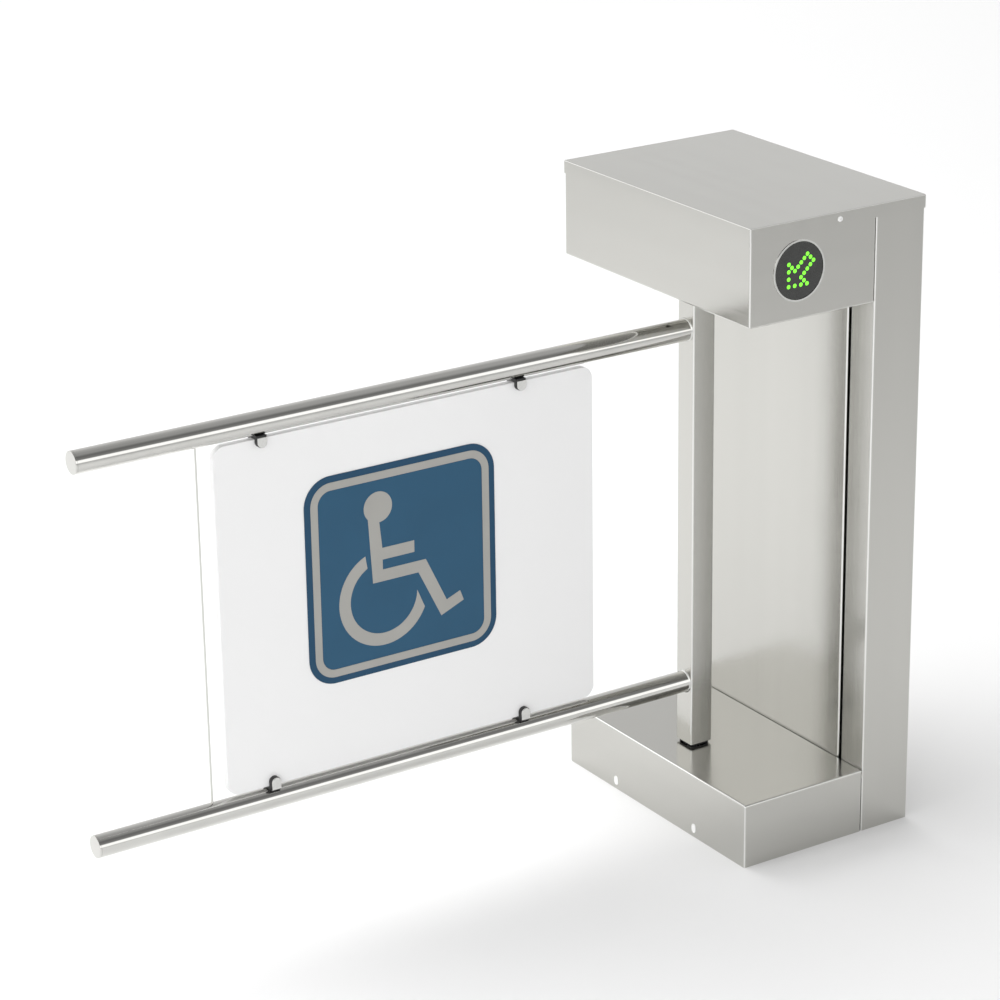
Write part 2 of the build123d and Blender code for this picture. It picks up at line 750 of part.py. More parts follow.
with BuildPart() as gearbox:
    with Locations((motor_x, 0, beam_top)):
        Box(gearbox_width, gearbox_depth, gearbox_height, align=(Align.CENTER, Align.CENTER, Align.MIN))
    fillet(gearbox.edges().filter_by(Axis.Z), gearbox_corner)
    fillet(gearbox.faces().sort_by(Axis.Z)[-1].edges(), gearbox_edge)
    with Locations((motor_x, 0, gearbox_top)):
        Cylinder(gearbox_nose_radius, gearbox_nose, align=(Align.CENTER, Align.CENTER, Align.MIN))
    with BuildSketch(Plane.XY.offset(beam_top)):
        with Locations((motor_x, 0)):
            RectangleRounded(gearbox_width, gearbox_foot, gearbox_foot_corner)
            with GridLocations(gearbox_bolt_x, gearbox_bolt_y, 2, 2):
                Circle(gearbox_bolt_radius + slip_clearance, mode=Mode.SUBTRACT)
    extrude(amount=gearbox_foot_thickness)
    with Locations((motor_x, 0, gearbox_top + gearbox_nose)):
        Cylinder(motor_shaft_radius + pin_fit, shaft_socket,
                 align=(Align.CENTER, Align.CENTER, Align.MAX), mode=Mode.SUBTRACT)
gearbox.part.label = "gearbox"
export_step(gearbox.part, "parts/gearbox.step")

with BuildPart() as gearbox_bolts:
    with BuildSketch(Plane.XY.offset(beam_top + gearbox_foot_thickness)):
        with Locations((motor_x, 0)):
            with GridLocations(gearbox_bolt_x, gearbox_bolt_y, 2, 2):
                Circle(gearbox_bolt_head_radius)
    extrude(amount=gearbox_bolt_head)
    with BuildSketch(Plane.XY.offset(beam_top + gearbox_foot_thickness)):
        with Locations((motor_x, 0)):
            with GridLocations(gearbox_bolt_x, gearbox_bolt_y, 2, 2):
                Circle(gearbox_bolt_radius)
    extrude(amount=-gearbox_foot_thickness - beam_thickness)
gearbox_bolts.part.label = "gearbox_bolts"
export_step(gearbox_bolts.part, "parts/gearbox_bolts.step")

with BuildPart() as motor_can:
    with BuildSketch(Plane.YZ.offset(motor_x + gearbox_width / 2)):
        with Locations((0, beam_top + motor_radius + motor_lift)):
            Circle(motor_radius)
    extrude(amount=motor_length)
    chamfer(motor_can.edges().filter_by(GeomType.CIRCLE), motor_chamfer)
motor_can.part.label = "motor_can"
export_step(motor_can.part, "parts/motor_can.step")

encoder_top = beam_top + encoder_height
encoder_turn = encoder_angle + 180 - 180 / pinion_teeth

with BuildPart() as encoder_body:
    with Locations((encoder_x, encoder_y, beam_top)):
        Cylinder(encoder_radius, encoder_height, align=(Align.CENTER, Align.CENTER, Align.MIN))
        Cylinder(encoder_radius + encoder_foot, encoder_foot_thickness,
                 align=(Align.CENTER, Align.CENTER, Align.MIN))
    chamfer(encoder_body.faces().sort_by(Axis.Z)[-1].edges(), encoder_chamfer)
    with Locations((encoder_x, encoder_y, encoder_top)):
        Cylinder(encoder_shaft_radius + pin_fit, shaft_socket,
                 align=(Align.CENTER, Align.CENTER, Align.MAX), mode=Mode.SUBTRACT)
encoder_body.part.label = "encoder_body"
export_step(encoder_body.part, "parts/encoder_body.step")

with BuildPart() as encoder_pinion:
    with BuildSketch(Plane((encoder_x, encoder_y, gear_level))):
        add(gear_sketch(pinion_teeth, encoder_turn))
    extrude(amount=gear_face)
    encoder_shaft_foot = encoder_top - shaft_socket + socket_gap
    with Locations((encoder_x, encoder_y, encoder_shaft_foot)):
        Cylinder(encoder_shaft_radius, shaft_end - encoder_shaft_foot,
                 align=(Align.CENTER, Align.CENTER, Align.MIN))
encoder_pinion.part.label = "encoder_pinion"
export_step(encoder_pinion.part, "parts/encoder_pinion.step")

stud_radius = 5.0
stud_x = post_x + arm_width / 2 + stop_clearance + bumper_radius

with BuildPart() as stop_studs:
    with GridLocations(0, 2 * bumper_offset, 1, 2):
        with Locations((stud_x, 0, beam_top)):
            Cylinder(stud_radius, arm_rise + arm_thickness + stud_proud,
                     align=(Align.CENTER, Align.CENTER, Align.MIN))
stop_studs.part.label = "stop_studs"
export_step(stop_studs.part, "parts/stop_studs.step")

with BuildPart() as stop_bumpers:
    with BuildSketch(Plane.XY.offset(arm_level - bumper_drop)):
        with GridLocations(0, 2 * bumper_offset, 1, 2):
            with Locations((stud_x, 0)):
                Circle(bumper_radius)
                Circle(stud_radius, mode=Mode.SUBTRACT)
    extrude(amount=bumper_drop + arm_thickness + bumper_rise)
stop_bumpers.part.label = "stop_bumpers"
export_step(stop_bumpers.part, "parts/stop_bumpers.step")

# ======================= electrics in the column =======================

plate_level = 160.0
plate_height = 400.0
supply_height = 199.0
supply_width = 99.0
supply_depth = 36.0
supply_y = -58.0
board_width = 100.0
board_height = 170.0
board_thickness = 1.6
board_y = 58.0
device_level = 190.0
standoff = 8.0
standoff_width = 6.0
standoff_inset = 5.0
terminal_level = 440.0
terminal_depth = 18.0
terminal_length = 120.0
terminal_height = 24.0
terminal_pitch = 10.0
terminal_ways = 11
terminal_pocket = (4.0, 6.0, 14.0)
hand_slot_length = 60.0
hand_slot_width = 14.0
vent_radius = 3.0
vent_pitch = 12.0
vent_rows = 10
vent_columns = 6
vent_depth = 1.0
relay_size = (20.0, 28.0, 15.0)
relay_pitch = 34.0
relay_place = (-20.0, 10.0)
capacitor_radius = 8.0
capacitor_height = 20.0
capacitor_pitch = 22.0
capacitor_offset = 28.0
connector_size = (70.0, 9.0, 11.0)
connector_inset = 8.0

with BuildPart() as mounting_plate:
    with Locations((mounting_face + mounting_plate_thickness / 2, 0, plate_level)):
        Box(mounting_plate_thickness, upright_spacing + upright_size, plate_height,
            align=(Align.CENTER, Align.CENTER, Align.MIN))
    with BuildSketch(Plane.YZ.offset(mounting_face)):
        with Locations((0, plate_level + plate_height / 2)):
            with GridLocations(0, plate_height - 2 * return_lip, 1, 2):
                SlotOverall(hand_slot_length, hand_slot_width)
    extrude(amount=mounting_plate_thickness, mode=Mode.SUBTRACT)
mounting_plate.part.label = "mounting_plate"
export_step(mounting_plate.part, "parts/mounting_plate.step")

with BuildPart() as power_supply:
    with Locations((mounting_face - supply_depth / 2, supply_y, device_level)):
        Box(supply_depth, supply_width, supply_height, align=(Align.CENTER, Align.CENTER, Align.MIN))
    with BuildSketch(Plane.YZ.offset(mounting_face - supply_depth)):
        with Locations((supply_y, device_level + supply_height / 2)):
            with GridLocations(vent_pitch, vent_pitch, vent_columns, vent_rows):
                Circle(vent_radius)
    extrude(amount=vent_depth, mode=Mode.SUBTRACT)
power_supply.part.label = "power_supply"
export_step(power_supply.part, "parts/power_supply.step")

board_face = mounting_face - standoff - board_thickness
board_middle = device_level + board_height / 2

with BuildPart() as control_board:
    with Locations((board_face + board_thickness / 2, board_y, board_middle)):
        Box(board_thickness, board_width, board_height)
control_board.part.label = "control_board"
export_step(control_board.part, "parts/control_board.step")

with BuildPart() as board_standoffs:
    with BuildSketch(Plane.YZ.offset(board_face + board_thickness)):
        with Locations((board_y, board_middle)):
            with GridLocations(board_width - 2 * standoff_inset, board_height - 2 * standoff_inset, 2, 2):
                RegularPolygon(standoff_width / 2, 6)
    extrude(amount=standoff)
board_standoffs.part.label = "board_standoffs"
export_step(board_standoffs.part, "parts/board_standoffs.step")

with BuildPart() as board_components:
    with BuildSketch(Plane.YZ.offset(board_face)):
        with Locations((board_y + relay_place[0], board_middle + relay_place[1])):
            with GridLocations(0, relay_pitch, 1, 3):
                Rectangle(relay_size[0], relay_size[1])
    extrude(amount=-relay_size[2])
    with BuildSketch(Plane.YZ.offset(board_face)):
        with Locations((board_y + capacitor_offset, board_middle)):
            with GridLocations(0, capacitor_pitch, 1, 4):
                Circle(capacitor_radius)
    extrude(amount=-capacitor_height)
    with BuildSketch(Plane.YZ.offset(board_face)):
        with Locations((board_y, board_middle)):
            with GridLocations(0, board_height - 2 * connector_inset, 1, 2):
                Rectangle(connector_size[0], connector_size[1])
    extrude(amount=-connector_size[2])
board_components.part.label = "board_components"
export_step(board_components.part, "parts/board_components.step")

with BuildPart() as terminal_block:
    with Locations((mounting_face, 0, terminal_level)):
        Box(terminal_depth, terminal_length, terminal_height, align=(Align.MAX, Align.CENTER, Align.MIN))
    with Locations((mounting_face - terminal_depth, 0, terminal_level + terminal_height / 2)):
        with GridLocations(0, terminal_pitch, 1, terminal_ways):
            Box(*terminal_pocket, mode=Mode.SUBTRACT)
terminal_block.part.label = "terminal_block"
export_step(terminal_block.part, "parts/terminal_block.step")

# ======================= indicators, one each side =======================

lens_front = half_depth + lens_setback
bezel_front = half_depth + bezel_thickness

with BuildPart() as indicator_bezels:
    with BuildSketch(Plane.XZ.offset(bezel_front)):
        with Locations((indicator_x, indicator_level)):
            Circle(bezel_radius)
            Circle(lens_radius, mode=Mode.SUBTRACT)
    extrude(amount=-bezel_thickness)
    chamfer(indicator_bezels.faces().sort_by(Axis.Y)[0].edges(), bezel_chamfer)
    with BuildSketch(Plane.XZ.offset(half_depth)):
        with Locations((indicator_x, indicator_level)):
            Circle(lens_radius + bezel_wall)
            Circle(lens_radius, mode=Mode.SUBTRACT)
    extrude(amount=-bezel_depth)
    mirror(about=Plane.XZ)
indicator_bezels.part.label = "indicator_bezels"
export_step(indicator_bezels.part, "parts/indicator_bezels.step")

arrow_legs = [((1, -1), 2), ((1, 1), 4), ((1, -1), 2), ((-1, -1), 4), ((1, -1), 2)]
arrow_side = 6 * led_step
arrow_tip = (-18.7, -21.3)


def arrow_points():
    """LED centres about the lens centre: an outlined arrow that points down and towards the gate."""
    x, z = arrow_tip[0], arrow_tip[1] + arrow_side
    points = [(x, z)]
    for (step_x, step_z), count in arrow_legs:
        for _ in range(count):
            x, z = x + step_x * led_step, z + step_z * led_step
            points.append((x, z))
    for third in (1, 2):
        points.append((arrow_tip[0] + arrow_side * third / 3, arrow_tip[1]))
        points.append((arrow_tip[0], arrow_tip[1] + arrow_side * third / 3))
    return points + [arrow_tip]


led_places = [(indicator_x + x, indicator_level + z) for x, z in arrow_points()]
led_front = lens_front + led_proud

with BuildPart() as indicator_lenses:
    with BuildSketch(Plane.XZ.offset(lens_front)):
        with Locations((indicator_x, indicator_level)):
            Circle(lens_radius - slip_clearance)
    extrude(amount=-lens_thickness)
    with BuildSketch(Plane.XZ.offset(lens_front)):
        with Locations(*led_places):
            Circle(led_radius)
    extrude(amount=-(led_height - led_proud), mode=Mode.SUBTRACT)
    mirror(about=Plane.XZ)
indicator_lenses.part.label = "indicator_lenses"
export_step(indicator_lenses.part, "parts/indicator_lenses.step")

with BuildPart() as indicator_leds:
    with BuildSketch(Plane.XZ.offset(led_front)):
        with Locations(*led_places):
            Circle(led_radius)
    extrude(amount=-led_height)
    fillet(indicator_leds.edges().filter_by(GeomType.CIRCLE).group_by(Axis.Y)[0], led_proud)
    mirror(about=Plane.XZ)
indicator_leds.part.label = "indicator_leds"
export_step(indicator_leds.part, "parts/indicator_leds.step")

with BuildPart() as indicator_backs:
    with BuildSketch(Plane.XZ.offset(lens_front - lens_thickness)):
        with Locations((indicator_x, indicator_level)):
            Circle(lens_radius - slip_clearance)
    extrude(amount=-bezel_depth)
    with BuildSketch(Plane.XZ.offset(lens_front - lens_thickness)):
        with Locations((indicator_x, indicator_level)):
            Circle(lens_radius - 2 * bezel_wall)
    extrude(amount=-(bezel_depth - bezel_wall), mode=Mode.SUBTRACT)
    mirror(about=Plane.XZ)
indicator_backs.part.label = "indicator_backs"
export_step(indicator_backs.part, "parts/indicator_backs.step")

# ======================= gate: bars, panel, clamps =======================

bar_length = bar_start - gate_end - cap_thickness
rod_x = post_x - rod_distance
rod_hole = rod_radius + slip_clearance / 2

for name, level, inward in (("upper", upper_bar_level, -1), ("lower", lower_bar_level, 1)):
    with BuildPart() as bar:
        with BuildSketch(Plane.YZ.offset(bar_start)):
            with Locations((0, level)):
                Circle(bar_radius)
                Circle(bar_radius - bar_wall, mode=Mode.SUBTRACT)
        extrude(amount=-bar_length)
        with BuildSketch(Plane.XY.offset(level)):
            with Locations((rod_x, 0)):
                Circle(rod_hole)
        extrude(amount=inward * 2 * bar_radius, mode=Mode.SUBTRACT)
    bar.part.label = f"{name}_bar"
    export_step(bar.part, f"parts/{name}_bar.step")

with BuildPart() as bar_caps:
    for level in (upper_bar_level, lower_bar_level):
        with Locations(Location((gate_end, 0, level), (0, 90, 0))):
            Cylinder(bar_radius, cap_thickness, align=(Align.CENTER, Align.CENTER, Align.MIN))
            Cylinder(bar_radius - bar_wall - shaft_fit, cap_thickness + cap_spigot,
                     align=(Align.CENTER, Align.CENTER, Align.MIN))
    chamfer(bar_caps.edges().filter_by(GeomType.CIRCLE).group_by(Axis.X)[0], cap_chamfer)
bar_caps.part.label = "bar_caps"
export_step(bar_caps.part, "parts/bar_caps.step")

rod_bottom = lower_bar_level + bar_radius - bar_wall
rod_top = upper_bar_level - bar_radius + bar_wall

with BuildPart() as tie_rod:
    with Locations((rod_x, 0, rod_bottom)):
        Cylinder(rod_radius, rod_top - rod_bottom, align=(Align.CENTER, Align.CENTER, Align.MIN))
tie_rod.part.label = "tie_rod"
export_step(tie_rod.part, "parts/tie_rod.step")

panel_height = panel_top - panel_bottom
panel_middle = (panel_top + panel_bottom) / 2
clamp_places = (panel_x - panel_width / 2 + clamp_inset_outer, panel_x + panel_width / 2 - clamp_inset_inner)
clamp_screw_inset = 5.5

with BuildPart() as infill_panel:
    with BuildSketch(Plane.XZ.offset(panel_thickness / 2)):
        with Locations((panel_x, panel_middle)):
            RectangleRounded(panel_width, panel_height, panel_corner)
        for clamp_x in clamp_places:
            for level in (panel_bottom + clamp_screw_inset, panel_top - clamp_screw_inset):
                with Locations((clamp_x, level)):
                    Circle(clamp_screw_radius + slip_clearance, mode=Mode.SUBTRACT)
    extrude(amount=-panel_thickness)
    chamfer(infill_panel.faces().filter_by(Axis.Y).edges().filter_by(GeomType.LINE), panel_chamfer)
infill_panel.part.label = "infill_panel"
export_step(infill_panel.part, "parts/infill_panel.step")

clamp_rows = (
    ("upper", upper_bar_level, panel_top, -1, upper_clamp_overlap),
    ("lower", lower_bar_level, panel_bottom, 1, lower_clamp_overlap),
)


def clamp_outline(flat_level, end_level, inward, rim):
    """D-shaped outlines at the clamp places: flat beside the bar, round over the panel."""
    radius = clamp_width / 2 - rim
    round_level = end_level - inward * clamp_width / 2
    with BuildSketch() as outline:
        for clamp_x in clamp_places:
            with Locations((clamp_x, (round_level + flat_level) / 2)):
                Rectangle(2 * radius, abs(round_level - flat_level))
            with Locations((clamp_x, round_level)):
                Circle(radius)
    return outline.sketch


for name, level, edge, inward, overlap in clamp_rows:
    seat_level = level + inward * (bar_radius - clamp_seat)
    with BuildPart() as clamps:
        with BuildSketch(Plane.XZ.offset(clamp_depth / 2)):
            add(clamp_outline(seat_level, edge + inward * overlap, inward, 0))
        extrude(amount=-clamp_depth)
        with Locations(Location((panel_x, 0, level), (0, 90, 0))):
            Cylinder(bar_radius + shaft_fit, panel_width, mode=Mode.SUBTRACT)
        with Locations((panel_x, 0, edge + inward * overlap)):
            Box(panel_width, panel_thickness, 2 * overlap, mode=Mode.SUBTRACT)
        with BuildSketch(Plane.XZ):
            for clamp_x in clamp_places:
                with Locations((clamp_x, edge + inward * clamp_screw_inset)):
                    Circle(clamp_screw_radius)
        extrude(amount=clamp_depth, both=True, mode=Mode.SUBTRACT)
    clamps.part.label = f"{name}_clamps"
    export_step(clamps.part, f"parts/{name}_clamps.step")

plate_front_y = clamp_depth / 2 + clamp_plate_thickness

with BuildPart() as clamp_plates:
    for _, level, edge, inward, overlap in clamp_rows:
        flat_level = level + inward * (bar_radius - clamp_seat + clamp_plate_setback)
        with BuildSketch(Plane.XZ.offset(clamp_depth / 2)):
            add(clamp_outline(flat_level, edge + inward * overlap, inward, clamp_plate_rim))
        extrude(amount=clamp_plate_thickness)
    fillet(clamp_plates.faces().filter_by(Axis.Y).group_by(Axis.Y)[0].edges(), clamp_plate_rim)
    mirror(about=Plane.XZ)
    for _, level, edge, inward, overlap in clamp_rows:
        with BuildSketch(Plane.XZ.offset(clamp_depth / 2)):
            for clamp_x in clamp_places:
                with Locations((clamp_x, edge + inward * clamp_screw_inset)):
                    Circle(clamp_screw_radius)
        extrude(amount=-clamp_depth - clamp_plate_thickness, mode=Mode.SUBTRACT)
clamp_plates.part.label = "clamp_plates"
export_step(clamp_plates.part, "parts/clamp_plates.step")

clamp_screw_head_radius = 4.0
clamp_screw_head = 2.4
clamp_screw_edge = 0.9

with BuildPart() as clamp_screws:
    for _, level, edge, inward, overlap in clamp_rows:
        with BuildSketch(Plane.XZ.offset(-plate_front_y)):
            for clamp_x in clamp_places:
                with Locations((clamp_x, edge + inward * clamp_screw_inset)):
                    Circle(clamp_screw_head_radius)
        extrude(amount=-clamp_screw_head)
        with BuildSketch(Plane.XZ.offset(-plate_front_y)):
            for clamp_x in clamp_places:
                with Locations((clamp_x, edge + inward * clamp_screw_inset)):
                    Circle(clamp_screw_radius - shaft_fit)
        extrude(amount=clamp_depth + clamp_plate_thickness)
    fillet(clamp_screws.faces().sort_by(Axis.Y)[-4:].edges(), clamp_screw_edge)
clamp_screws.part.label = "clamp_screws"
export_step(clamp_screws.part, "parts/clamp_screws.step")

# ======================= sign =======================

sign_x = post_x - sign_distance
sign_face = panel_thickness / 2
graphic_face = sign_face + sign_thickness

with BuildPart() as sign_plate:
    with BuildSketch(Plane.XZ.offset(sign_face)):
        with Locations((sign_x, sign_level)):
            RectangleRounded(sign_size, sign_size, sign_corner)
    extrude(amount=sign_thickness)
    chamfer(sign_plate.faces().sort_by(Axis.Y)[0].edges(), sign_chamfer)
sign_plate.part.label = "sign_plate"
export_step(sign_plate.part, "parts/sign_plate.step")

head_radius = 23.5
head_place = (-38.8, 95.6)
torso_left = (-56.5, 90.0)
torso_right = (-39.0, 90.0)
torso_foot = -50.4
lap_x = -33.4
arm_top = 32.0
arm_bottom = 14.0
arm_end = 20.0
seat_top = -1.2
seat_bottom = -19.2
knee_front = 38.8
knee_back = 26.0
heel = (63.2, -95.2)
instep = (72.8, -72.4)
toe_bottom = (102.0, -79.2)
toe_top = (96.0, -63.2)
wheel_place = (-32.6, -43.4)
wheel_outer = 74.6
wheel_inner = 55.8
wheel_opening = [(-63.5, 36.0), (-56.6, -10.0), (21.9, -42.5), (39.1, -83.7), (90.0, -83.7), (90.0, 60.0),
                 (-63.5, 60.0)]

with BuildPart() as sign_graphics:
    with BuildSketch(Plane.XZ.offset(graphic_face)):
        with Locations((sign_x, sign_level)):
            border_size = sign_size - 2 * border_inset
            RectangleRounded(border_size, border_size, sign_corner - border_inset)
            RectangleRounded(border_size - 2 * border_width, border_size - 2 * border_width,
                             sign_corner - border_inset - border_width, mode=Mode.SUBTRACT)
    extrude(amount=graphic_thickness)
    with BuildSketch(Plane((sign_x, -graphic_face, sign_level), x_dir=(1, 0, 0), z_dir=(0, -1, 0))):
        with Locations(wheel_place):
            Circle(wheel_outer)
            Circle(wheel_inner, mode=Mode.SUBTRACT)
        with BuildLine():
            Polyline(*wheel_opening, close=True)
        make_face(mode=Mode.SUBTRACT)
        with Locations(head_place):
            Circle(head_radius)
        with BuildLine():
            Polyline(
                torso_left,
                (torso_foot, seat_bottom),
                (knee_back, seat_bottom),
                heel,
                toe_bottom,
                toe_top,
                instep,
                (knee_front, seat_top),
                (lap_x, seat_top),
                (lap_x, arm_bottom),
                (arm_end, arm_bottom),
                (arm_end, arm_top),
                (lap_x, arm_top),
                torso_right,
                close=True,
            )
        make_face()
    extrude(amount=graphic_thickness)
sign_graphics.part.label = "sign_graphics"
export_step(sign_graphics.part, "parts/sign_graphics.step")
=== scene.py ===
"""Accessible swing gate: the finished looks of the cabinet, the swing post, the bars and the sign."""

import json
import math

import bmesh
import bpy
from mathutils import Matrix, Vector


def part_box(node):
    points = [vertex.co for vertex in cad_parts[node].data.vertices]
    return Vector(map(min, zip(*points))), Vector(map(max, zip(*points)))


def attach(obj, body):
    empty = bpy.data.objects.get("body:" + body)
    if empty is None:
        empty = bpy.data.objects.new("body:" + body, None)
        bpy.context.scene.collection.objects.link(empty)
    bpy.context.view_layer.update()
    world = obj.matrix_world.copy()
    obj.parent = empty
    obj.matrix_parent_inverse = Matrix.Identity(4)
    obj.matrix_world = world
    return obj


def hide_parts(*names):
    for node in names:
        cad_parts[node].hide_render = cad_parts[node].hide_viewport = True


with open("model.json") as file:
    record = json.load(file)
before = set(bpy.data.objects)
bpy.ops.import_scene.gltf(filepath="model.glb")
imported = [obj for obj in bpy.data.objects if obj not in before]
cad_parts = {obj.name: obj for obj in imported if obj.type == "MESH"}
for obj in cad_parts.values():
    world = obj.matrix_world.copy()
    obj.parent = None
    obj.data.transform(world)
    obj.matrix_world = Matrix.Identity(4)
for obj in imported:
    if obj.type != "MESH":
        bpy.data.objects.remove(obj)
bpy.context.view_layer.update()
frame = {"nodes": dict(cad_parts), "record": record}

MM = 0.001

# The maker's own sizes, in metres, where the frame's boxes don't give them.
SHEET = 1.5 * MM
LID_SHEET = 1.2 * MM
BEND = 3 * MM
RETURN_LIP = 12 * MM
COLUMN_FLANGE = 52.5 * MM
SHAFT_HOLE = 21 * MM
SLOT_WIDTH = 8 * MM
SLOT_HEIGHT = 13 * MM
RIVET_FLANGE = 1 * MM
RIVET_HEAD = 0.8 * MM
TAB_DEPTH = 3 * MM
POST_WALL = 3 * MM
BAR_WALL = 1.5 * MM
PANEL_CORNER = 19 * MM
PANEL_EASE = 1.0 * MM
CLAMP_WIDTH = 16 * MM
CLAMP_PLATE_RIM = 0.6 * MM
CLAMP_PLATE_SETBACK = 2.4 * MM
CLAMP_SCREW_HEAD = 4 * MM
SIGN_CORNER = 43 * MM
LED_RADIUS = 3.4 * MM
LED_PROUD = 0.35 * MM
WINDOW_INSET = 3 * MM
WINDOW_THICKNESS = 3 * MM
WINDOW_EASE = 0.8 * MM
BEZEL_OVERLAP = 1.2 * MM
BARREL_WALL = 1.5 * MM
BARREL_LENGTH = 20 * MM
CAP_SPIGOT = 15 * MM
CAP_CHAMFER = 1.0 * MM
WELD_LENGTH = 2.2 * MM
WELD_FLARE = 1.1
COLLAR_CORNER = 2 * MM
FIELD_INSET = 22.3 * MM
FIELD_PROUD = 0.12 * MM
FIELD_SUNK = 0.2 * MM
SCREW_SOCKET = 1.5 * MM
PLUG_PLAY = 0.4 * MM

# Fine eases, fits and the slack of the geometric tests.
EASE_FINE = 0.3 * MM
EASE_SMALL = 0.4 * MM
EASE_SIGN = 0.5 * MM
RUNNING_FIT = 0.05 * MM
PANEL_FIT = 0.03 * MM
SNAP = 0.01 * MM
EDGE_SLACK = 0.1 * MM
CUT_REACH = 0.02


# ---------------------------------------------------------------- mesh helpers


def only(obj):
    """Make one object the sole selected and active one."""
    bpy.ops.object.select_all(action="DESELECT")
    obj.select_set(True)
    bpy.context.view_layer.objects.active = obj


def block(name, low, high):
    """A closed block between two corners, with its place in its mesh."""
    low, high = Vector(low), Vector(high)
    bpy.ops.object.select_all(action="DESELECT")
    bpy.ops.mesh.primitive_cube_add(size=1, location=(low + high) / 2)
    obj = bpy.context.object
    obj.name = name
    obj.scale = high - low
    bpy.ops.object.transform_apply(location=True, rotation=True, scale=True)
    return obj


def round_bar(name, start, end, radius, sides=96):
    """A closed round bar from one point to another."""
    start, end = Vector(start), Vector(end)
    bpy.ops.object.select_all(action="DESELECT")
    bpy.ops.mesh.primitive_cylinder_add(vertices=sides, radius=radius, depth=(end - start).length,
                                        location=(start + end) / 2)
    obj = bpy.context.object
    obj.name = name
    obj.rotation_euler = (end - start).to_track_quat("Z", "Y").to_euler()
    bpy.ops.object.transform_apply(location=True, rotation=True, scale=True)
    return obj


def pick(obj, kind, wanted):
    """In edit mode, select the edges or faces whose middle, direction or normal passes the test."""
    only(obj)
    bpy.ops.object.mode_set(mode="EDIT")
    bpy.ops.mesh.select_mode(type=kind)
    bpy.ops.mesh.select_all(action="DESELECT")
    mesh = bmesh.from_edit_mesh(obj.data)
    if kind == "EDGE":
        for edge in mesh.edges:
            a, b = edge.verts[0].co, edge.verts[1].co
            edge.select = wanted((a + b) / 2, (b - a).normalized())
    elif kind == "FACE":
        mesh.normal_update()
        for face in mesh.faces:
            face.select = wanted(face.calc_center_median(), face.normal)
    else:
        for vert in mesh.verts:
            vert.select = wanted(vert.co)
    mesh.select_flush_mode()
    bmesh.update_edit_mesh(obj.data)


def leave():
    bpy.ops.object.mode_set(mode="OBJECT")


def near(a, b, slack=SNAP):
    return abs(a - b) < slack


def along(direction, axis):
    return abs(direction[axis]) > 0.999


def round_edges(obj, wanted, radius, segments=4):
    """Bend or ease the chosen edges to a radius."""
    pick(obj, "EDGE", wanted)
    bpy.ops.mesh.bevel(offset=radius, offset_type="OFFSET", segments=segments, profile=0.5, affect="EDGES")
    leave()


def open_faces(obj, wanted):
    pick(obj, "FACE", wanted)
    bpy.ops.mesh.delete(type="FACE")
    leave()


def fold_lip(obj, wanted, reach):
    """Fold a return lip out of the chosen free edges."""
    pick(obj, "EDGE", wanted)
    bpy.ops.mesh.extrude_edges_move(TRANSFORM_OT_translate={"value": reach})
    leave()


def face_outwards(obj, direction):
    """Make all faces agree, with those whose normal lies along `direction` pointing that way."""
    pick(obj, "FACE", lambda middle, normal: True)
    bpy.ops.mesh.remove_doubles(threshold=0.001 * MM)
    bpy.ops.mesh.normals_make_consistent(inside=False)
    leave()
    direction = Vector(direction)
    reach = max(abs(v.co.dot(direction)) for v in obj.data.vertices)
    outer = [p for p in obj.data.polygons if abs(p.normal.dot(direction)) > 0.99]
    side = max(outer, key=lambda p: (round(p.center.dot(direction) / reach, 3), p.area))
    if side.normal.dot(direction) < 0:
        pick(obj, "FACE", lambda middle, normal: True)
        bpy.ops.mesh.flip_normals()
        leave()


def apply_all(obj):
    only(obj)
    for modifier in list(obj.modifiers):
        bpy.ops.object.modifier_apply(modifier=modifier.name)


def thicken(obj, wall):
    """Give a bent skin its sheet thickness, inwards."""
    modifier = obj.modifiers.new("sheet", "SOLIDIFY")
    modifier.thickness = wall
    modifier.offset = -1
    modifier.use_even_offset = True
    apply_all(obj)


def cut(obj, *cutters):
    """Cut holes, then bin the cutters."""
    for cutter in cutters:
        modifier = obj.modifiers.new("cut", "BOOLEAN")
        modifier.operation = "DIFFERENCE"
        modifier.solver = "EXACT"
        modifier.object = cutter
        apply_all(obj)
        bpy.data.objects.remove(cutter)


def smooth(obj, angle=35, weighted=True):
    """Smooth over bends and keep flats flat."""
    only(obj)
    bpy.ops.object.shade_smooth_by_angle(angle=math.radians(angle))
    if weighted:
        modifier = obj.modifiers.new("flats", "WEIGHTED_NORMAL")
        modifier.keep_sharp = True
        modifier.weight = 100
        apply_all(obj)


def fuse(name, parts):
    """Join pieces into one object."""
    bpy.ops.object.select_all(action="DESELECT")
    for part in parts:
        part.select_set(True)
    bpy.context.view_layer.objects.active = parts[0]
    if len(parts) > 1:
        bpy.ops.object.join()
    parts[0].name = name
    return parts[0]


def copy_moved(obj, offset):
    """A copy with its own mesh, moved in its mesh."""
    twin = obj.copy()
    twin.data = obj.data.copy()
    bpy.context.scene.collection.objects.link(twin)
    twin.data.transform(Matrix.Translation(Vector(offset)))
    return twin


def copy_mirrored_y(obj):
    """A copy with its own mesh on the other side of the cabinet's middle plane."""
    twin = obj.copy()
    twin.data = obj.data.copy()
    bpy.context.scene.collection.objects.link(twin)
    twin.data.transform(Matrix.Scale(-1, 4, (0, 1, 0)))
    twin.data.flip_normals()
    return twin


def fit(obj, material, body, slot_name, *nodes):
    """Finish a piece: its material, the body that it rides on and the nodes it stands for. The slot name is not used.
    """
    obj.data.materials.clear()
    obj.data.materials.append(material)
    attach(obj, body)
    if nodes:
        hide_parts(*nodes)
    return obj


# ---------------------------------------------------------------- camera and light

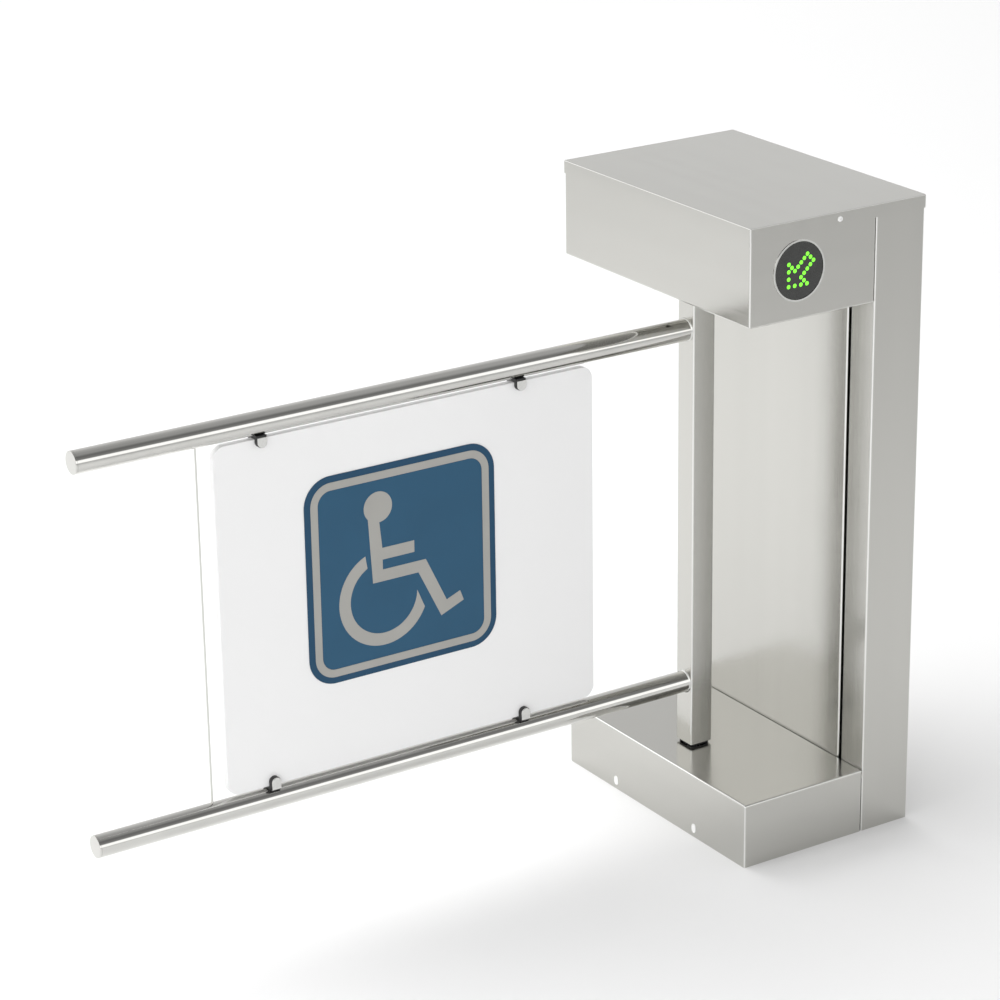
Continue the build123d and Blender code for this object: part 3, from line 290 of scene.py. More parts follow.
CAMERA_PLACE = (-2.8865, -3.8485, 2.2938)
CAMERA_HEADING = 32.52
CAMERA_TILT = 20.565
CAMERA_ROLL = -0.892
CAMERA_LENS = 120.12


def place_camera():
    heading, tilt, roll = (math.radians(a) for a in (CAMERA_HEADING, CAMERA_TILT, CAMERA_ROLL))
    ahead = Vector((math.sin(heading) * math.cos(tilt), math.cos(heading) * math.cos(tilt), -math.sin(tilt)))
    right = Vector((math.cos(heading), -math.sin(heading), 0))
    up = right.cross(ahead)
    turned_right = right * math.cos(roll) + up * math.sin(roll)
    turned_up = up * math.cos(roll) - right * math.sin(roll)
    camera = bpy.data.objects.new("camera", bpy.data.cameras.new("camera"))
    bpy.context.scene.collection.objects.link(camera)
    camera.data.lens = CAMERA_LENS
    camera.data.sensor_width = 36
    camera.data.clip_end = 100
    basis = Matrix((turned_right, turned_up, -ahead)).transposed().to_4x4()
    camera.matrix_world = Matrix.Translation(CAMERA_PLACE) @ basis
    bpy.context.scene.camera = camera


def soft_box(name, place, aim, size, power, tint=(1, 1, 1)):
    """A large soft light that lights matt surfaces, without a hard patch in the polished ones."""
    light = bpy.data.lights.new(name, "AREA")
    light.shape = "RECTANGLE"
    light.size, light.size_y = size
    light.energy = power
    light.color = tint
    obj = bpy.data.objects.new(name, light)
    bpy.context.scene.collection.objects.link(obj)
    obj.location = place
    obj.rotation_euler = (Vector(aim) - Vector(place)).to_track_quat("-Z", "Y").to_euler()
    obj.visible_glossy = False
    obj.visible_camera = False
    return obj


def ramp(nodes, stops, interpolation="EASE"):
    """A colour ramp from (position, grey or colour) stops."""
    node = nodes.new("ShaderNodeValToRGB")
    node.color_ramp.interpolation = interpolation
    elements = node.color_ramp.elements
    while len(elements) > 1:
        elements.remove(elements[-1])
    for index, (position, colour) in enumerate(stops):
        element = elements[0] if index == 0 else elements.new(position)
        element.position = position
        colour = (colour,) * 3 if isinstance(colour, (int, float)) else colour
        element.color = (*colour, 1)
    return node


def studio():
    """A pale room: a bright band and dark ceiling in front, a pale backdrop behind, a bright wall to the left."""
    world = bpy.data.worlds.new("studio")
    bpy.context.scene.world = world
    world.use_nodes = True
    nodes, links = world.node_tree.nodes, world.node_tree.links
    background = nodes["Background"]
    place = nodes.new("ShaderNodeTexCoord")
    axes = nodes.new("ShaderNodeSeparateXYZ")
    links.new(place.outputs["Generated"], axes.inputs[0])
    height = nodes.new("ShaderNodeMapRange")
    height.inputs["From Min"].default_value = -1
    height.inputs["From Max"].default_value = 1
    links.new(axes.outputs["Z"], height.inputs["Value"])
    front = ramp(nodes, [(0.0, 0.62), (0.49, 0.75), (0.545, 1.6), (0.68, 1.6), (0.74, 0.30), (0.88, 0.20),
                         (0.985, 0.26)])
    back = ramp(nodes, [(0.0, 0.95), (0.5, 1.0), (0.62, 0.86), (0.80, 0.72), (0.93, 0.50), (0.99, 0.30)])
    links.new(height.outputs[0], front.inputs[0])
    links.new(height.outputs[0], back.inputs[0])
    facing = nodes.new("ShaderNodeVectorMath")
    facing.operation = "DOT_PRODUCT"
    facing.inputs[1].default_value = (math.sin(math.radians(CAMERA_HEADING)),
                                      math.cos(math.radians(CAMERA_HEADING)), 0)
    links.new(place.outputs["Generated"], facing.inputs[0])
    side = nodes.new("ShaderNodeMapRange")
    side.interpolation_type = "SMOOTHSTEP"
    side.inputs["From Min"].default_value = -0.22
    side.inputs["From Max"].default_value = 0.22
    links.new(facing.outputs["Value"], side.inputs["Value"])
    mix = nodes.new("ShaderNodeMix")
    mix.data_type = "RGBA"
    links.new(side.outputs[0], mix.inputs["Factor"])
    links.new(front.outputs[0], mix.inputs["A"])
    links.new(back.outputs[0], mix.inputs["B"])
    left = ramp(nodes, [(0.0, 1.0), (0.52, 1.1), (0.60, 1.65), (0.80, 1.5), (0.93, 0.6), (0.99, 0.3)])
    links.new(height.outputs[0], left.inputs[0])
    leftward = nodes.new("ShaderNodeVectorMath")
    leftward.operation = "DOT_PRODUCT"
    leftward.inputs[1].default_value = (-0.94, 0.34, 0)
    links.new(place.outputs["Generated"], leftward.inputs[0])
    flank = nodes.new("ShaderNodeMapRange")
    flank.interpolation_type = "SMOOTHSTEP"
    flank.inputs["From Min"].default_value = 0.30
    flank.inputs["From Max"].default_value = 0.66
    links.new(leftward.outputs["Value"], flank.inputs["Value"])
    room = nodes.new("ShaderNodeMix")
    room.data_type = "RGBA"
    links.new(flank.outputs[0], room.inputs["Factor"])
    links.new(mix.outputs["Result"], room.inputs["A"])
    links.new(left.outputs[0], room.inputs["B"])
    links.new(room.outputs["Result"], background.inputs["Color"])
    background.inputs["Strength"].default_value = 1.0


def floor():
    bpy.ops.object.select_all(action="DESELECT")
    bpy.ops.mesh.primitive_plane_add(size=60, location=(0, 0, 0))
    sheet = bpy.context.object
    sheet.name = "floor"
    material = bpy.data.materials.new("floor_paper")
    material.use_nodes = True
    shader = material.node_tree.nodes["Principled BSDF"]
    shader.inputs["Base Color"].default_value = (0.86, 0.86, 0.86, 1)
    shader.inputs["Roughness"].default_value = 0.9
    shader.inputs["Specular IOR Level"].default_value = 0.1
    sheet.data.materials.append(material)


bpy.context.scene.view_settings.view_transform = "Standard"
place_camera()
studio()
floor()
soft_box("overhead", (-1.2, 1.4, 3.4), (-0.8, 0.7, 0), (3.4, 3.4), 92)
soft_box("front_fill", (-2.6, -3.4, 2.2), (-0.4, 0, 0.6), (2.2, 2.2), 40)
soft_box("backdrop", (2.5, 6.5, 4), (2.5, 6.5, 0), (9, 9), 190)

# ---------------------------------------------------------------- materials


def new_material(name, base, metallic=0.0, roughness=0.5):
    material = bpy.data.materials.new(name)
    material.use_nodes = True
    shader = material.node_tree.nodes["Principled BSDF"]
    shader.inputs["Base Color"].default_value = (*base, 1)
    shader.inputs["Metallic"].default_value = metallic
    shader.inputs["Roughness"].default_value = roughness
    return material, shader, material.node_tree.nodes, material.node_tree.links


def grain(nodes, links, scale, detail=6, roughness=0.6, stretch=(1, 1, 1), name="grain"):
    """Noise on the piece's own coordinates, stretched along the way that the finish runs."""
    place = nodes.new("ShaderNodeTexCoord")
    mapping = nodes.new("ShaderNodeMapping")
    mapping.inputs["Scale"].default_value = stretch
    noise = nodes.new("ShaderNodeTexNoise")
    noise.label = name
    noise.inputs["Scale"].default_value = scale
    noise.inputs["Detail"].default_value = detail
    noise.inputs["Roughness"].default_value = roughness
    links.new(place.outputs["Object"], mapping.inputs["Vector"])
    links.new(mapping.outputs[0], noise.inputs["Vector"])
    return noise.outputs["Fac"]


def remap(nodes, links, value, low, high, start=0.3, stop=0.7):
    """A noise value spread over a range."""
    node = nodes.new("ShaderNodeMapRange")
    node.inputs["From Min"].default_value = start
    node.inputs["From Max"].default_value = stop
    node.inputs["To Min"].default_value = low
    node.inputs["To Max"].default_value = high
    links.new(value, node.inputs["Value"])
    return node.outputs[0]


def add(nodes, links, a, b, operation="ADD"):
    node = nodes.new("ShaderNodeMath")
    node.operation = operation
    links.new(a, node.inputs[0])
    if isinstance(b, (int, float)):
        node.inputs[1].default_value = b
    else:
        links.new(b, node.inputs[1])
    return node.outputs[0]


def tone(nodes, links, shader, value, dark, light, start=0.3, stop=0.7):
    """Base colour drifting between two tones."""
    node = nodes.new("ShaderNodeMix")
    node.data_type = "RGBA"
    node.inputs["A"].default_value = (*dark, 1)
    node.inputs["B"].default_value = (*light, 1)
    links.new(remap(nodes, links, value, 0, 1, start, stop), node.inputs["Factor"])
    links.new(node.outputs["Result"], shader.inputs["Base Color"])


def bump(nodes, links, shader, value, depth, strength=1.0):
    node = nodes.new("ShaderNodeBump")
    node.inputs["Strength"].default_value = strength
    node.inputs["Distance"].default_value = depth
    links.new(value, node.inputs["Height"])
    links.new(node.outputs[0], shader.inputs["Normal"])


def shade(colour, factor):
    return tuple(min(1.0, channel * factor) for channel in colour)


STEEL = (0.545, 0.540, 0.512)


def bend_highlight_mask(nodes, links, start=0.985, stop=0.84):
    """One where the surface turns between two flats, nought on the flats: the mask of the painted highlight along the
    bends.
    """
    place = nodes.new("ShaderNodeTexCoord")
    size = nodes.new("ShaderNodeVectorMath")
    size.operation = "ABSOLUTE"
    links.new(place.outputs["Normal"], size.inputs[0])
    axes = nodes.new("ShaderNodeSeparateXYZ")
    links.new(size.outputs[0], axes.inputs[0])
    most = add(nodes, links, add(nodes, links, axes.outputs["X"], axes.outputs["Y"], "MAXIMUM"),
               axes.outputs["Z"], "MAXIMUM")
    return remap(nodes, links, most, 0, 1, start, stop)


def brushed_stainless(name, run, base=STEEL, rough=0.20):
    """Satin sheet with fine lines that run along `run`, faint rolling bands, handling marks and a painted highlight
    along the bends.
    """
    material, shader, nodes, links = new_material(name, base, 1.0, rough)
    fine = tuple(3 if axis in run else 900 for axis in "xyz")
    band = tuple(0.6 if axis in run else 26 for axis in "xyz")
    lines = grain(nodes, links, 1, 5, 0.7, fine, "brush lines")
    bands = grain(nodes, links, 1, 3, 0.5, band, "rolling bands")
    marks = grain(nodes, links, 7, 4, 0.55, (1, 1, 1), "handling marks")
    roughness = add(nodes, links, remap(nodes, links, lines, rough - 0.035, rough + 0.04),
                    remap(nodes, links, marks, -0.012, 0.022))
    links.new(roughness, shader.inputs["Roughness"])
    tone(nodes, links, shader, add(nodes, links, add(nodes, links, lines, 0.5, "MULTIPLY"),
                                   add(nodes, links, bands, 0.5, "MULTIPLY")),
         shade(base, 0.965), shade(base, 1.03))
    flat_tone = shader.inputs["Base Color"].links[0].from_socket
    # Painted highlight: the bends are mixed towards a pale grey, standing in for the bright lines that light makes
    # along them.
    painted_bend_highlight = nodes.new("ShaderNodeMix")
    painted_bend_highlight.data_type = "RGBA"
    painted_bend_highlight.label = "bright bends"
    painted_bend_highlight.inputs["B"].default_value = (0.84, 0.84, 0.82, 1)
    links.new(bend_highlight_mask(nodes, links), painted_bend_highlight.inputs["Factor"])
    links.new(flat_tone, painted_bend_highlight.inputs["A"])
    links.new(painted_bend_highlight.outputs["Result"], shader.inputs["Base Color"])
    bump(nodes, links, shader, lines, 0.004 * MM, 0.5)
    return material


def polished_tube():
    """Polished stainless tube with hairlines round it and a faint mottle."""
    base = (0.64, 0.635, 0.61)
    material, shader, nodes, links = new_material("polished_tube", base, 1.0, 0.08)
    lines = grain(nodes, links, 1, 4, 0.6, (1400, 5, 5), "polish lines")
    mottle = grain(nodes, links, 14, 4, 0.5, (1, 1, 1), "mottle")
    links.new(add(nodes, links, remap(nodes, links, lines, 0.055, 0.10),
                  remap(nodes, links, mottle, -0.01, 0.02)), shader.inputs["Roughness"])
    tone(nodes, links, shader, mottle, shade(base, 0.97), shade(base, 1.03))
    bump(nodes, links, shader, lines, 0.002 * MM, 0.4)
    return material


def turned_steel(name, base=(0.62, 0.615, 0.59), rough=0.22, scale=260):
    """Small machined steel parts."""
    material, shader, nodes, links = new_material(name, base, 1.0, rough)
    cloud = grain(nodes, links, scale, 4, 0.6, (1, 1, 1), "turning")
    links.new(remap(nodes, links, cloud, rough - 0.06, rough + 0.08), shader.inputs["Roughness"])
    tone(nodes, links, shader, cloud, shade(base, 0.94), shade(base, 1.05))
    bump(nodes, links, shader, cloud, 0.006 * MM, 0.4)
    return material


def coated(name, base, rough, scale, depth, gloss=0.5, metallic=0.0, spread=0.1):
    """Paint, plastic, rubber or casting: a fine skin texture over one colour."""
    material, shader, nodes, links = new_material(name, base, metallic, rough)
    shader.inputs["Specular IOR Level"].default_value = gloss
    skin = grain(nodes, links, scale, 5, 0.55, (1, 1, 1), "skin")
    cloud = grain(nodes, links, 9, 3, 0.5, (1, 1, 1), "cloud")
    links.new(remap(nodes, links, cloud, rough - 0.5 * spread, rough + 0.5 * spread), shader.inputs["Roughness"])
    tone(nodes, links, shader, cloud, shade(base, 1 - spread), shade(base, 1 + spread))
    bump(nodes, links, shader, skin, depth, 0.5)
    return material


def satin_acrylic():
    """Pale satin acrylic: soft sheen, an even micro-frost, a very faint cloudiness and a painted line of shade along
    the back rim.
    """
    base = (0.78, 0.78, 0.78)
    material, shader, nodes, links = new_material("satin_acrylic", base, 0.0, 0.32)
    frost = grain(nodes, links, 2200, 3, 0.5, (1, 1, 1), "frost")
    cloud = grain(nodes, links, 3.2, 3, 0.5, (1, 1, 1), "cloud")
    links.new(remap(nodes, links, cloud, 0.29, 0.36), shader.inputs["Roughness"])
    tone(nodes, links, shader, cloud, shade(base, 0.988), shade(base, 1.008))
    bump(nodes, links, shader, frost, 0.01 * MM, 0.35)
    face_tone = shader.inputs["Base Color"].links[0].from_socket
    # Painted shade: the eased rim of the back face (normals leaning towards +Y) is mixed to near black, standing in
    # for the line of shade along the panel's back edge.
    place = nodes.new("ShaderNodeTexCoord")
    axes = nodes.new("ShaderNodeSeparateXYZ")
    links.new(place.outputs["Normal"], axes.inputs[0])
    ease = add(nodes, links, remap(nodes, links, axes.outputs["Y"], 0, 1, 0.25, 0.4),
               remap(nodes, links, axes.outputs["Y"], 1, 0, 0.9, 0.97), "MULTIPLY")
    rim = nodes.new("ShaderNodeMix")
    rim.data_type = "RGBA"
    rim.label = "dark painted_shade back rim"
    rim.inputs["B"].default_value = (0.05, 0.05, 0.05, 1)
    links.new(ease, rim.inputs["Factor"])
    links.new(face_tone, rim.inputs["A"])
    links.new(rim.outputs["Result"], shader.inputs["Base Color"])
    return material


def printed(name, base, rough=0.34):
    """Screen-printed ink film: a slight orange peel and even colour."""
    material, shader, nodes, links = new_material(name, base, 0.0, rough)
    shader.inputs["Specular IOR Level"].default_value = 0.25
    peel = grain(nodes, links, 420, 3, 0.5, (1, 1, 1), "orange peel")
    cloud = grain(nodes, links, 11, 4, 0.5, (1, 1, 1), "ink density")
    links.new(remap(nodes, links, cloud, rough - 0.03, rough + 0.04), shader.inputs["Roughness"])
    tone(nodes, links, shader, cloud, shade(base, 0.965), shade(base, 1.035))
    bump(nodes, links, shader, peel, 0.012 * MM, 0.35)
    return material


def smoked_window():
    """Dark smoked window with faint wiping scratches."""
    base = (0.022, 0.023, 0.021)
    material, shader, nodes, links = new_material("smoked_window", base, 0.0, 0.2)
    shader.inputs["Coat Weight"].default_value = 0.3
    shader.inputs["Coat Roughness"].default_value = 0.08
    wiping = grain(nodes, links, 1, 5, 0.7, (60, 400, 900), "wiping marks")
    cloud = grain(nodes, links, 60, 4, 0.6, (1, 1, 1), "dust")
    links.new(remap(nodes, links, wiping, 0.16, 0.30), shader.inputs["Roughness"])
    tone(nodes, links, shader, cloud, shade(base, 0.75), shade(base, 1.25))
    bump(nodes, links, shader, wiping, 0.004 * MM, 0.3)
    return material


def lit_led():
    """A lit green dome, brighter at its middle than at its rim."""
    base = (0.20, 1.0, 0.035)
    material, shader, nodes, links = new_material("lit_led", shade(base, 0.6), 0.0, 0.25)
    shader.inputs["Emission Color"].default_value = (*base, 1)
    facing = nodes.new("ShaderNodeLayerWeight")
    facing.inputs["Blend"].default_value = 0.35
    glow = remap(nodes, links, facing.outputs["Facing"], 1.15, 0.55, 0.0, 1.0)
    links.new(glow, shader.inputs["Emission Strength"])
    pattern = grain(nodes, links, 700, 3, 0.5, (1, 1, 1), "resin")
    bump(nodes, links, shader, pattern, 0.01 * MM, 0.3)
    return material


def circuit_board():
    """Green solder mask with a darker and a lighter run of copper beneath it."""
    base = (0.02, 0.16, 0.07)
    material, shader, nodes, links = new_material("solder_mask", base, 0.0, 0.35)
    place = nodes.new("ShaderNodeTexCoord")
    bricks = nodes.new("ShaderNodeTexBrick")
    bricks.inputs["Scale"].default_value = 90
    bricks.inputs["Color1"].default_value = (*shade(base, 1.0), 1)
    bricks.inputs["Color2"].default_value = (*shade(base, 1.25), 1)
    bricks.inputs["Mortar"].default_value = (*shade(base, 1.7), 1)
    mapping = nodes.new("ShaderNodeMapping")
    mapping.inputs["Rotation"].default_value = (0, math.pi / 2, 0)
    links.new(place.outputs["Object"], mapping.inputs["Vector"])
    links.new(mapping.outputs[0], bricks.inputs["Vector"])
    links.new(bricks.outputs["Color"], shader.inputs["Base Color"])
    bump(nodes, links, shader, bricks.outputs["Fac"], 0.03 * MM, 0.5)
    return material


around = brushed_stainless("brushed_around", "xy")
upright = brushed_stainless("brushed_upright", "z")
across = brushed_stainless("brushed_across", "y")
tube_finish = polished_tube()
clamp_finish = turned_steel("clamp_steel", (0.70, 0.70, 0.68), 0.12)
screw_finish = turned_steel("screw_steel", (0.68, 0.68, 0.66), 0.18)
zinc_finish = turned_steel("zinc_plate", (0.55, 0.56, 0.57), 0.32, 90)
ground_finish = turned_steel("ground_steel", (0.50, 0.50, 0.51), 0.24, 400)
frame_finish = coated("frame_coat", (0.055, 0.058, 0.062), 0.45, 600, 0.05 * MM)
cast_finish = coated("cast_iron", (0.06, 0.063, 0.066), 0.6, 350, 0.12 * MM, metallic=0.2)
alloy_finish = coated("die_cast_alloy", (0.52, 0.53, 0.55), 0.42, 500, 0.06 * MM, metallic=1.0)
enamel_finish = coated("motor_enamel", (0.012, 0.012, 0.013), 0.28, 500, 0.02 * MM)
rubber_finish = coated("moulded_rubber", (0.016, 0.016, 0.016), 0.75, 900, 0.05 * MM, 0.3)
nylon_finish = coated("white_nylon", (0.80, 0.80, 0.79), 0.42, 900, 0.02 * MM, spread=0.03)
plastic_finish = coated("black_moulding", (0.018, 0.018, 0.019), 0.48, 900, 0.03 * MM)
acrylic_finish = satin_acrylic()
rim_ink = printed("deep_blue_ink", (0.012, 0.056, 0.112))
field_ink = printed("sign_blue_ink", (0.020, 0.080, 0.148))
grey_ink = printed("grey_ink", (0.34, 0.335, 0.315))
window_finish = smoked_window()
led_finish = lit_led()
board_finish = circuit_board()

SLOT_FINISH = {
    "brushed_stainless": around,
    "polished_stainless": tube_finish,
    "screw_stainless": screw_finish,
    "frame_steel": frame_finish,
    "zinc_steel": zinc_finish,
    "ground_steel": ground_finish,
    "cast_housing": cast_finish,
    "gearbox_aluminium": alloy_finish,
    "motor_enamel": enamel_finish,
    "black_rubber": rubber_finish,
    "black_plastic": plastic_finish,
    "white_nylon": nylon_finish,
    "circuit_board": board_finish,
    "smoked_lens": window_finish,
    "led_green": led_finish,
    "panel_acrylic": acrylic_finish,
    "sign_blue": rim_ink,
    "sign_grey": grey_ink,
}


def finish_frame_nodes():
    """Give every carried-over node its slot's finish."""
    for entry in frame["record"]["subparts"]:
        node = frame["nodes"][entry["node"]]
        material = SLOT_FINISH[entry["material_slot"]]
        if not node.data.materials:
            node.data.materials.append(material)
        for index in range(len(node.data.materials)):
            node.data.materials[index] = material


finish_frame_nodes()

# ---------------------------------------------------------------- cabinet sheet metal


def make_head_cover():
    low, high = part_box("head_cover")
    cover = block("head_cover_sheet", low, high)
    round_edges(cover, lambda m, d: along(d, 2) and near(m.x, low.x), BEND)
    open_faces(cover, lambda m, n: n.z > 0.9 or n.x > 0.9)
    bottom_edge = low.z + 5 * EDGE_SLACK
    round_edges(cover, lambda m, d: m.z < bottom_edge and m.x < high.x - EDGE_SLACK and abs(d.z) < 0.1, BEND)
    side = high.y - EDGE_SLACK
    for hand in (-1, 1):
        fold_lip(cover, lambda m, d: along(d, 2) and near(m.x, high.x) and m.y * hand > side,
                 (0, -hand * RETURN_LIP, 0))
    face_outwards(cover, (-1, 0, 0))
    round_edges(cover, lambda m, d: along(d, 2) and near(m.x, high.x) and abs(m.y) > side, BEND, 3)
    thicken(cover, SHEET)
    lens_low, lens_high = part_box("indicator_bezels")
    lens_middle = (lens_low + lens_high) / 2
    post_low, post_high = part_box("post_tube")
    hole = round_bar("hole", (lens_middle.x, low.y - CUT_REACH, lens_middle.z),
                     (lens_middle.x, high.y + CUT_REACH, lens_middle.z),
                     (lens_high.x - lens_low.x) / 2 - BEZEL_OVERLAP, 96)
    shaft = round_bar("shaft_hole", ((post_low.x + post_high.x) / 2, 0, low.z - 0.01),
                      ((post_low.x + post_high.x) / 2, 0, low.z + 0.01), SHAFT_HOLE, 64)
    cut(cover, hole, shaft)
    smooth(cover)
    fit(cover, around, "cabinet", "brushed_stainless", "head_cover")


def make_lid():
    low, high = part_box("lid")
    lid = block("lid_sheet", low, high)
    open_faces(lid, lambda m, n: n.z < -0.9)
    round_edges(lid, lambda m, d: along(d, 2), BEND)
    round_edges(lid, lambda m, d: m.z > high.z - EDGE_SLACK and abs(d.z) < 0.1, LID_SHEET, 3)
    thicken(lid, LID_SHEET)
    smooth(lid)
    fit(lid, across, "cabinet", "brushed_stainless", "lid")


def make_column_shell():
    low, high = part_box("column_shell")
    shell = block("column_sheet", low, high)
    open_faces(shell, lambda m, n: abs(n.z) > 0.9)
    flange = high.y - COLUMN_FLANGE
    for hand in (-1, 1):
        pick(shell, "FACE", lambda m, n: n.x < -0.9)
        bpy.ops.mesh.bisect(plane_co=(low.x, hand * flange, 0), plane_no=(0, 1, 0))
        leave()
    open_faces(shell, lambda m, n: n.x < -0.9 and abs(m.y) < flange)
    fold_lip(shell, lambda m, d: along(d, 2) and near(m.x, low.x) and near(abs(m.y), flange), (RETURN_LIP, 0, 0))
    face_outwards(shell, (1, 0, 0))
    round_edges(shell, lambda m, d: along(d, 2) and near(abs(m.y), high.y), BEND)
    round_edges(shell, lambda m, d: along(d, 2) and near(m.x, low.x) and near(abs(m.y), flange), SHEET, 3)
    thicken(shell, SHEET)
    smooth(shell)
    fit(shell, upright, "cabinet", "brushed_stainless", "column_shell")


def make_front_panel():
    low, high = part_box("column_front_panel")
    panel = block("front_panel_sheet", low, high)
    open_faces(panel, lambda m, n: abs(n.z) > 0.9 or n.x > 0.9)
    round_edges(panel, lambda m, d: along(d, 2) and near(m.x, low.x), BEND)
    thicken(panel, SHEET)
    smooth(panel)
    fit(panel, upright, "cabinet", "brushed_stainless", "column_front_panel")


def obround(place, reach, width, height):
    """A round-ended upright block that reaches from one X to another about its place."""
    straight = height - width
    foot = place.z - straight / 2
    tool = round_bar("obround", (place.x + reach[0], place.y, foot), (place.x + reach[1], place.y, foot),
                     width / 2, 32)
    pick(tool, "VERT", lambda v: v.z > foot + SNAP)
    bpy.ops.transform.translate(value=(0, 0, straight))
    leave()
    return tool


def make_base_cover():
    low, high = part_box("base_cover")
    cover = block("base_cover_sheet", low, high)
    open_faces(cover, lambda m, n: n.z < -0.9 or n.x > 0.9)
    round_edges(cover, lambda m, d: along(d, 2) and near(m.x, low.x), BEND)
    top = high.z - EDGE_SLACK
    side = high.y - EDGE_SLACK
    for hand in (-1, 1):
        fold_lip(cover, lambda m, d: along(d, 2) and near(m.x, high.x) and m.y * hand > side,
                 (0, -hand * RETURN_LIP, 0))
    fold_lip(cover, lambda m, d: along(d, 1) and near(m.x, high.x) and m.z > top
             and abs(m.y) < high.y - RETURN_LIP, (0, 0, -RETURN_LIP))
    face_outwards(cover, (0, 0, 1))
    round_edges(cover, lambda m, d: m.z > top and abs(d.z) < 0.1, BEND)
    round_edges(cover, lambda m, d: along(d, 2) and near(m.x, high.x) and abs(m.y) > side, BEND, 3)
    thicken(cover, SHEET)
    post_low, post_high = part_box("post_tube")
    post_x = (post_low.x + post_high.x) / 2
    cutters = [round_bar("shaft_hole", (post_x, 0, high.z - 0.01), (post_x, 0, high.z + 0.01), SHAFT_HOLE, 64)]
    rivet_low, rivet_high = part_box("base_rivets")
    rivet_level = (rivet_low.z + rivet_high.z) / 2
    rivet_y = rivet_high.y - SLOT_WIDTH / 2 - RIVET_FLANGE
    for hand in (-1, 1):
        cutters.append(obround(Vector((low.x, hand * rivet_y, rivet_level)), (-4 * MM, 4 * MM), SLOT_WIDTH,
                               SLOT_HEIGHT))
    cut(cover, *cutters)
    smooth(cover)
    fit(cover, around, "cabinet", "brushed_stainless", "base_cover")


make_head_cover()
make_lid()
make_column_shell()
make_front_panel()
make_base_cover()

# ---------------------------------------------------------------- swing post and bars


def make_post():
    low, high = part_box("post_tube")
    post = block("post_square_tube", low, high)
    round_edges(post, lambda m, d: along(d, 2), POST_WALL, 5)
    open_faces(post, lambda m, n: abs(n.z) > 0.9)
    thicken(post, POST_WALL)
    smooth(post)
    fit(post, upright, "gate", "brushed_stainless", "post_tube")


def make_bar(level_name):
    low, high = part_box(f"{level_name}_bar")
    middle = (low + high) / 2
    radius = (high.z - low.z) / 2
    bar = round_bar(f"{level_name}_bar_tube", (low.x, middle.y, middle.z), (high.x, middle.y, middle.z), radius)
    open_faces(bar, lambda m, n: abs(n.x) > 0.9)
    face_outwards(bar, (0, 0, 1))
    thicken(bar, BAR_WALL)
    round_edges(bar, lambda m, d: near(m.x, low.x) and abs(d.x) < 0.1
                and (m.yz - middle.yz).length > radius - 2 * EDGE_SLACK, EASE_FINE, 2)
    smooth(bar)
    fit(bar, tube_finish, "gate", "polished_stainless", f"{level_name}_bar")

    bead = round_bar(f"{level_name}_weld", (high.x - WELD_LENGTH, middle.y, middle.z),
                     (high.x, middle.y, middle.z), radius + RUNNING_FIT)
    pick(bead, "VERT", lambda v: v.x > high.x - EDGE_SLACK)
    bpy.ops.transform.resize(value=(1, WELD_FLARE, WELD_FLARE), center_override=(high.x, middle.y, middle.z))
    leave()
    round_edges(bead, lambda m, d: abs(d.x) < 0.1 and m.x < high.x - CAP_CHAMFER, CAP_CHAMFER, 3)
    smooth(bead, 50)
    fit(bead, screw_finish, "gate", "polished_stainless")


def make_bar_cap(name, level_node):
    low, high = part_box(level_node)
    caps_low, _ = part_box("bar_caps")
    middle = (low + high) / 2
    radius = (high.z - low.z) / 2
    cap = round_bar(name, (caps_low.x, middle.y, middle.z), (low.x - RUNNING_FIT, middle.y, middle.z), radius)
    pick(cap, "FACE", lambda m, n: n.x > 0.9)
    bpy.ops.mesh.inset(thickness=BAR_WALL + RUNNING_FIT)
    bpy.ops.mesh.extrude_region_move(TRANSFORM_OT_translate={"value": (CAP_SPIGOT, 0, 0)})
    leave()
    round_edges(cap, lambda m, d: abs(d.x) < 0.1 and m.x < low.x - SNAP
                and (m.yz - middle.yz).length > radius - EDGE_SLACK and m.x < caps_low.x + EDGE_SLACK, CAP_CHAMFER, 4)
    round_edges(cap, lambda m, d: near(m.x, low.x - RUNNING_FIT) and abs(d.x) < 0.1
                and (m.yz - middle.yz).length > radius - EDGE_SLACK, EASE_FINE, 2)
    smooth(cap)
    return cap


def make_bar_caps():
    caps = fuse("bar_end_caps", [make_bar_cap("cap_a", "upper_bar"), make_bar_cap("cap_b", "lower_bar")])
    fit(caps, tube_finish, "gate", "polished_stainless", "bar_caps")


def make_tie_rod():
    low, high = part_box("tie_rod")
    middle = (low + high) / 2
    rod = round_bar("slim_tie_rod", (middle.x, middle.y, low.z), (middle.x, middle.y, high.z),
                    (high.x - low.x) / 2, 32)
    round_edges(rod, lambda m, d: abs(d.z) < 0.1, EASE_FINE, 2)
    smooth(rod)
    fit(rod, tube_finish, "gate", "polished_stainless", "tie_rod")


def make_collars():
    low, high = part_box("post_collars")
    post_low, post_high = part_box("post_tube")
    parts = []
    for bottom, top in ((low.z, post_low.z), (post_high.z, high.z)):
        collar = block("collar", (low.x, low.y, bottom), (high.x, high.y, top))
        round_edges(collar, lambda m, d: along(d, 2), COLLAR_CORNER, 4)
        parts.append(collar)
    collars = fuse("post_collar_pair", parts)
    smooth(collars)
    fit(collars, plastic_finish, "gate", "black_plastic", "post_collars")


make_post()
make_bar("upper")
make_bar("lower")
make_bar_caps()
make_tie_rod()
make_collars()

# ---------------------------------------------------------------- infill panel, clamps and sign


def make_panel():
    low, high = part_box("infill_panel")
    panel = block("satin_panel", low, high)
    round_edges(panel, lambda m, d: along(d, 1), PANEL_CORNER, 12)
    round_edges(panel, lambda m, d: abs(d.y) < 0.1 and near(abs(m.y), high.y), PANEL_EASE, 3)
    smooth(panel)
    fit(panel, acrylic_finish, "gate", "panel_acrylic", "infill_panel")


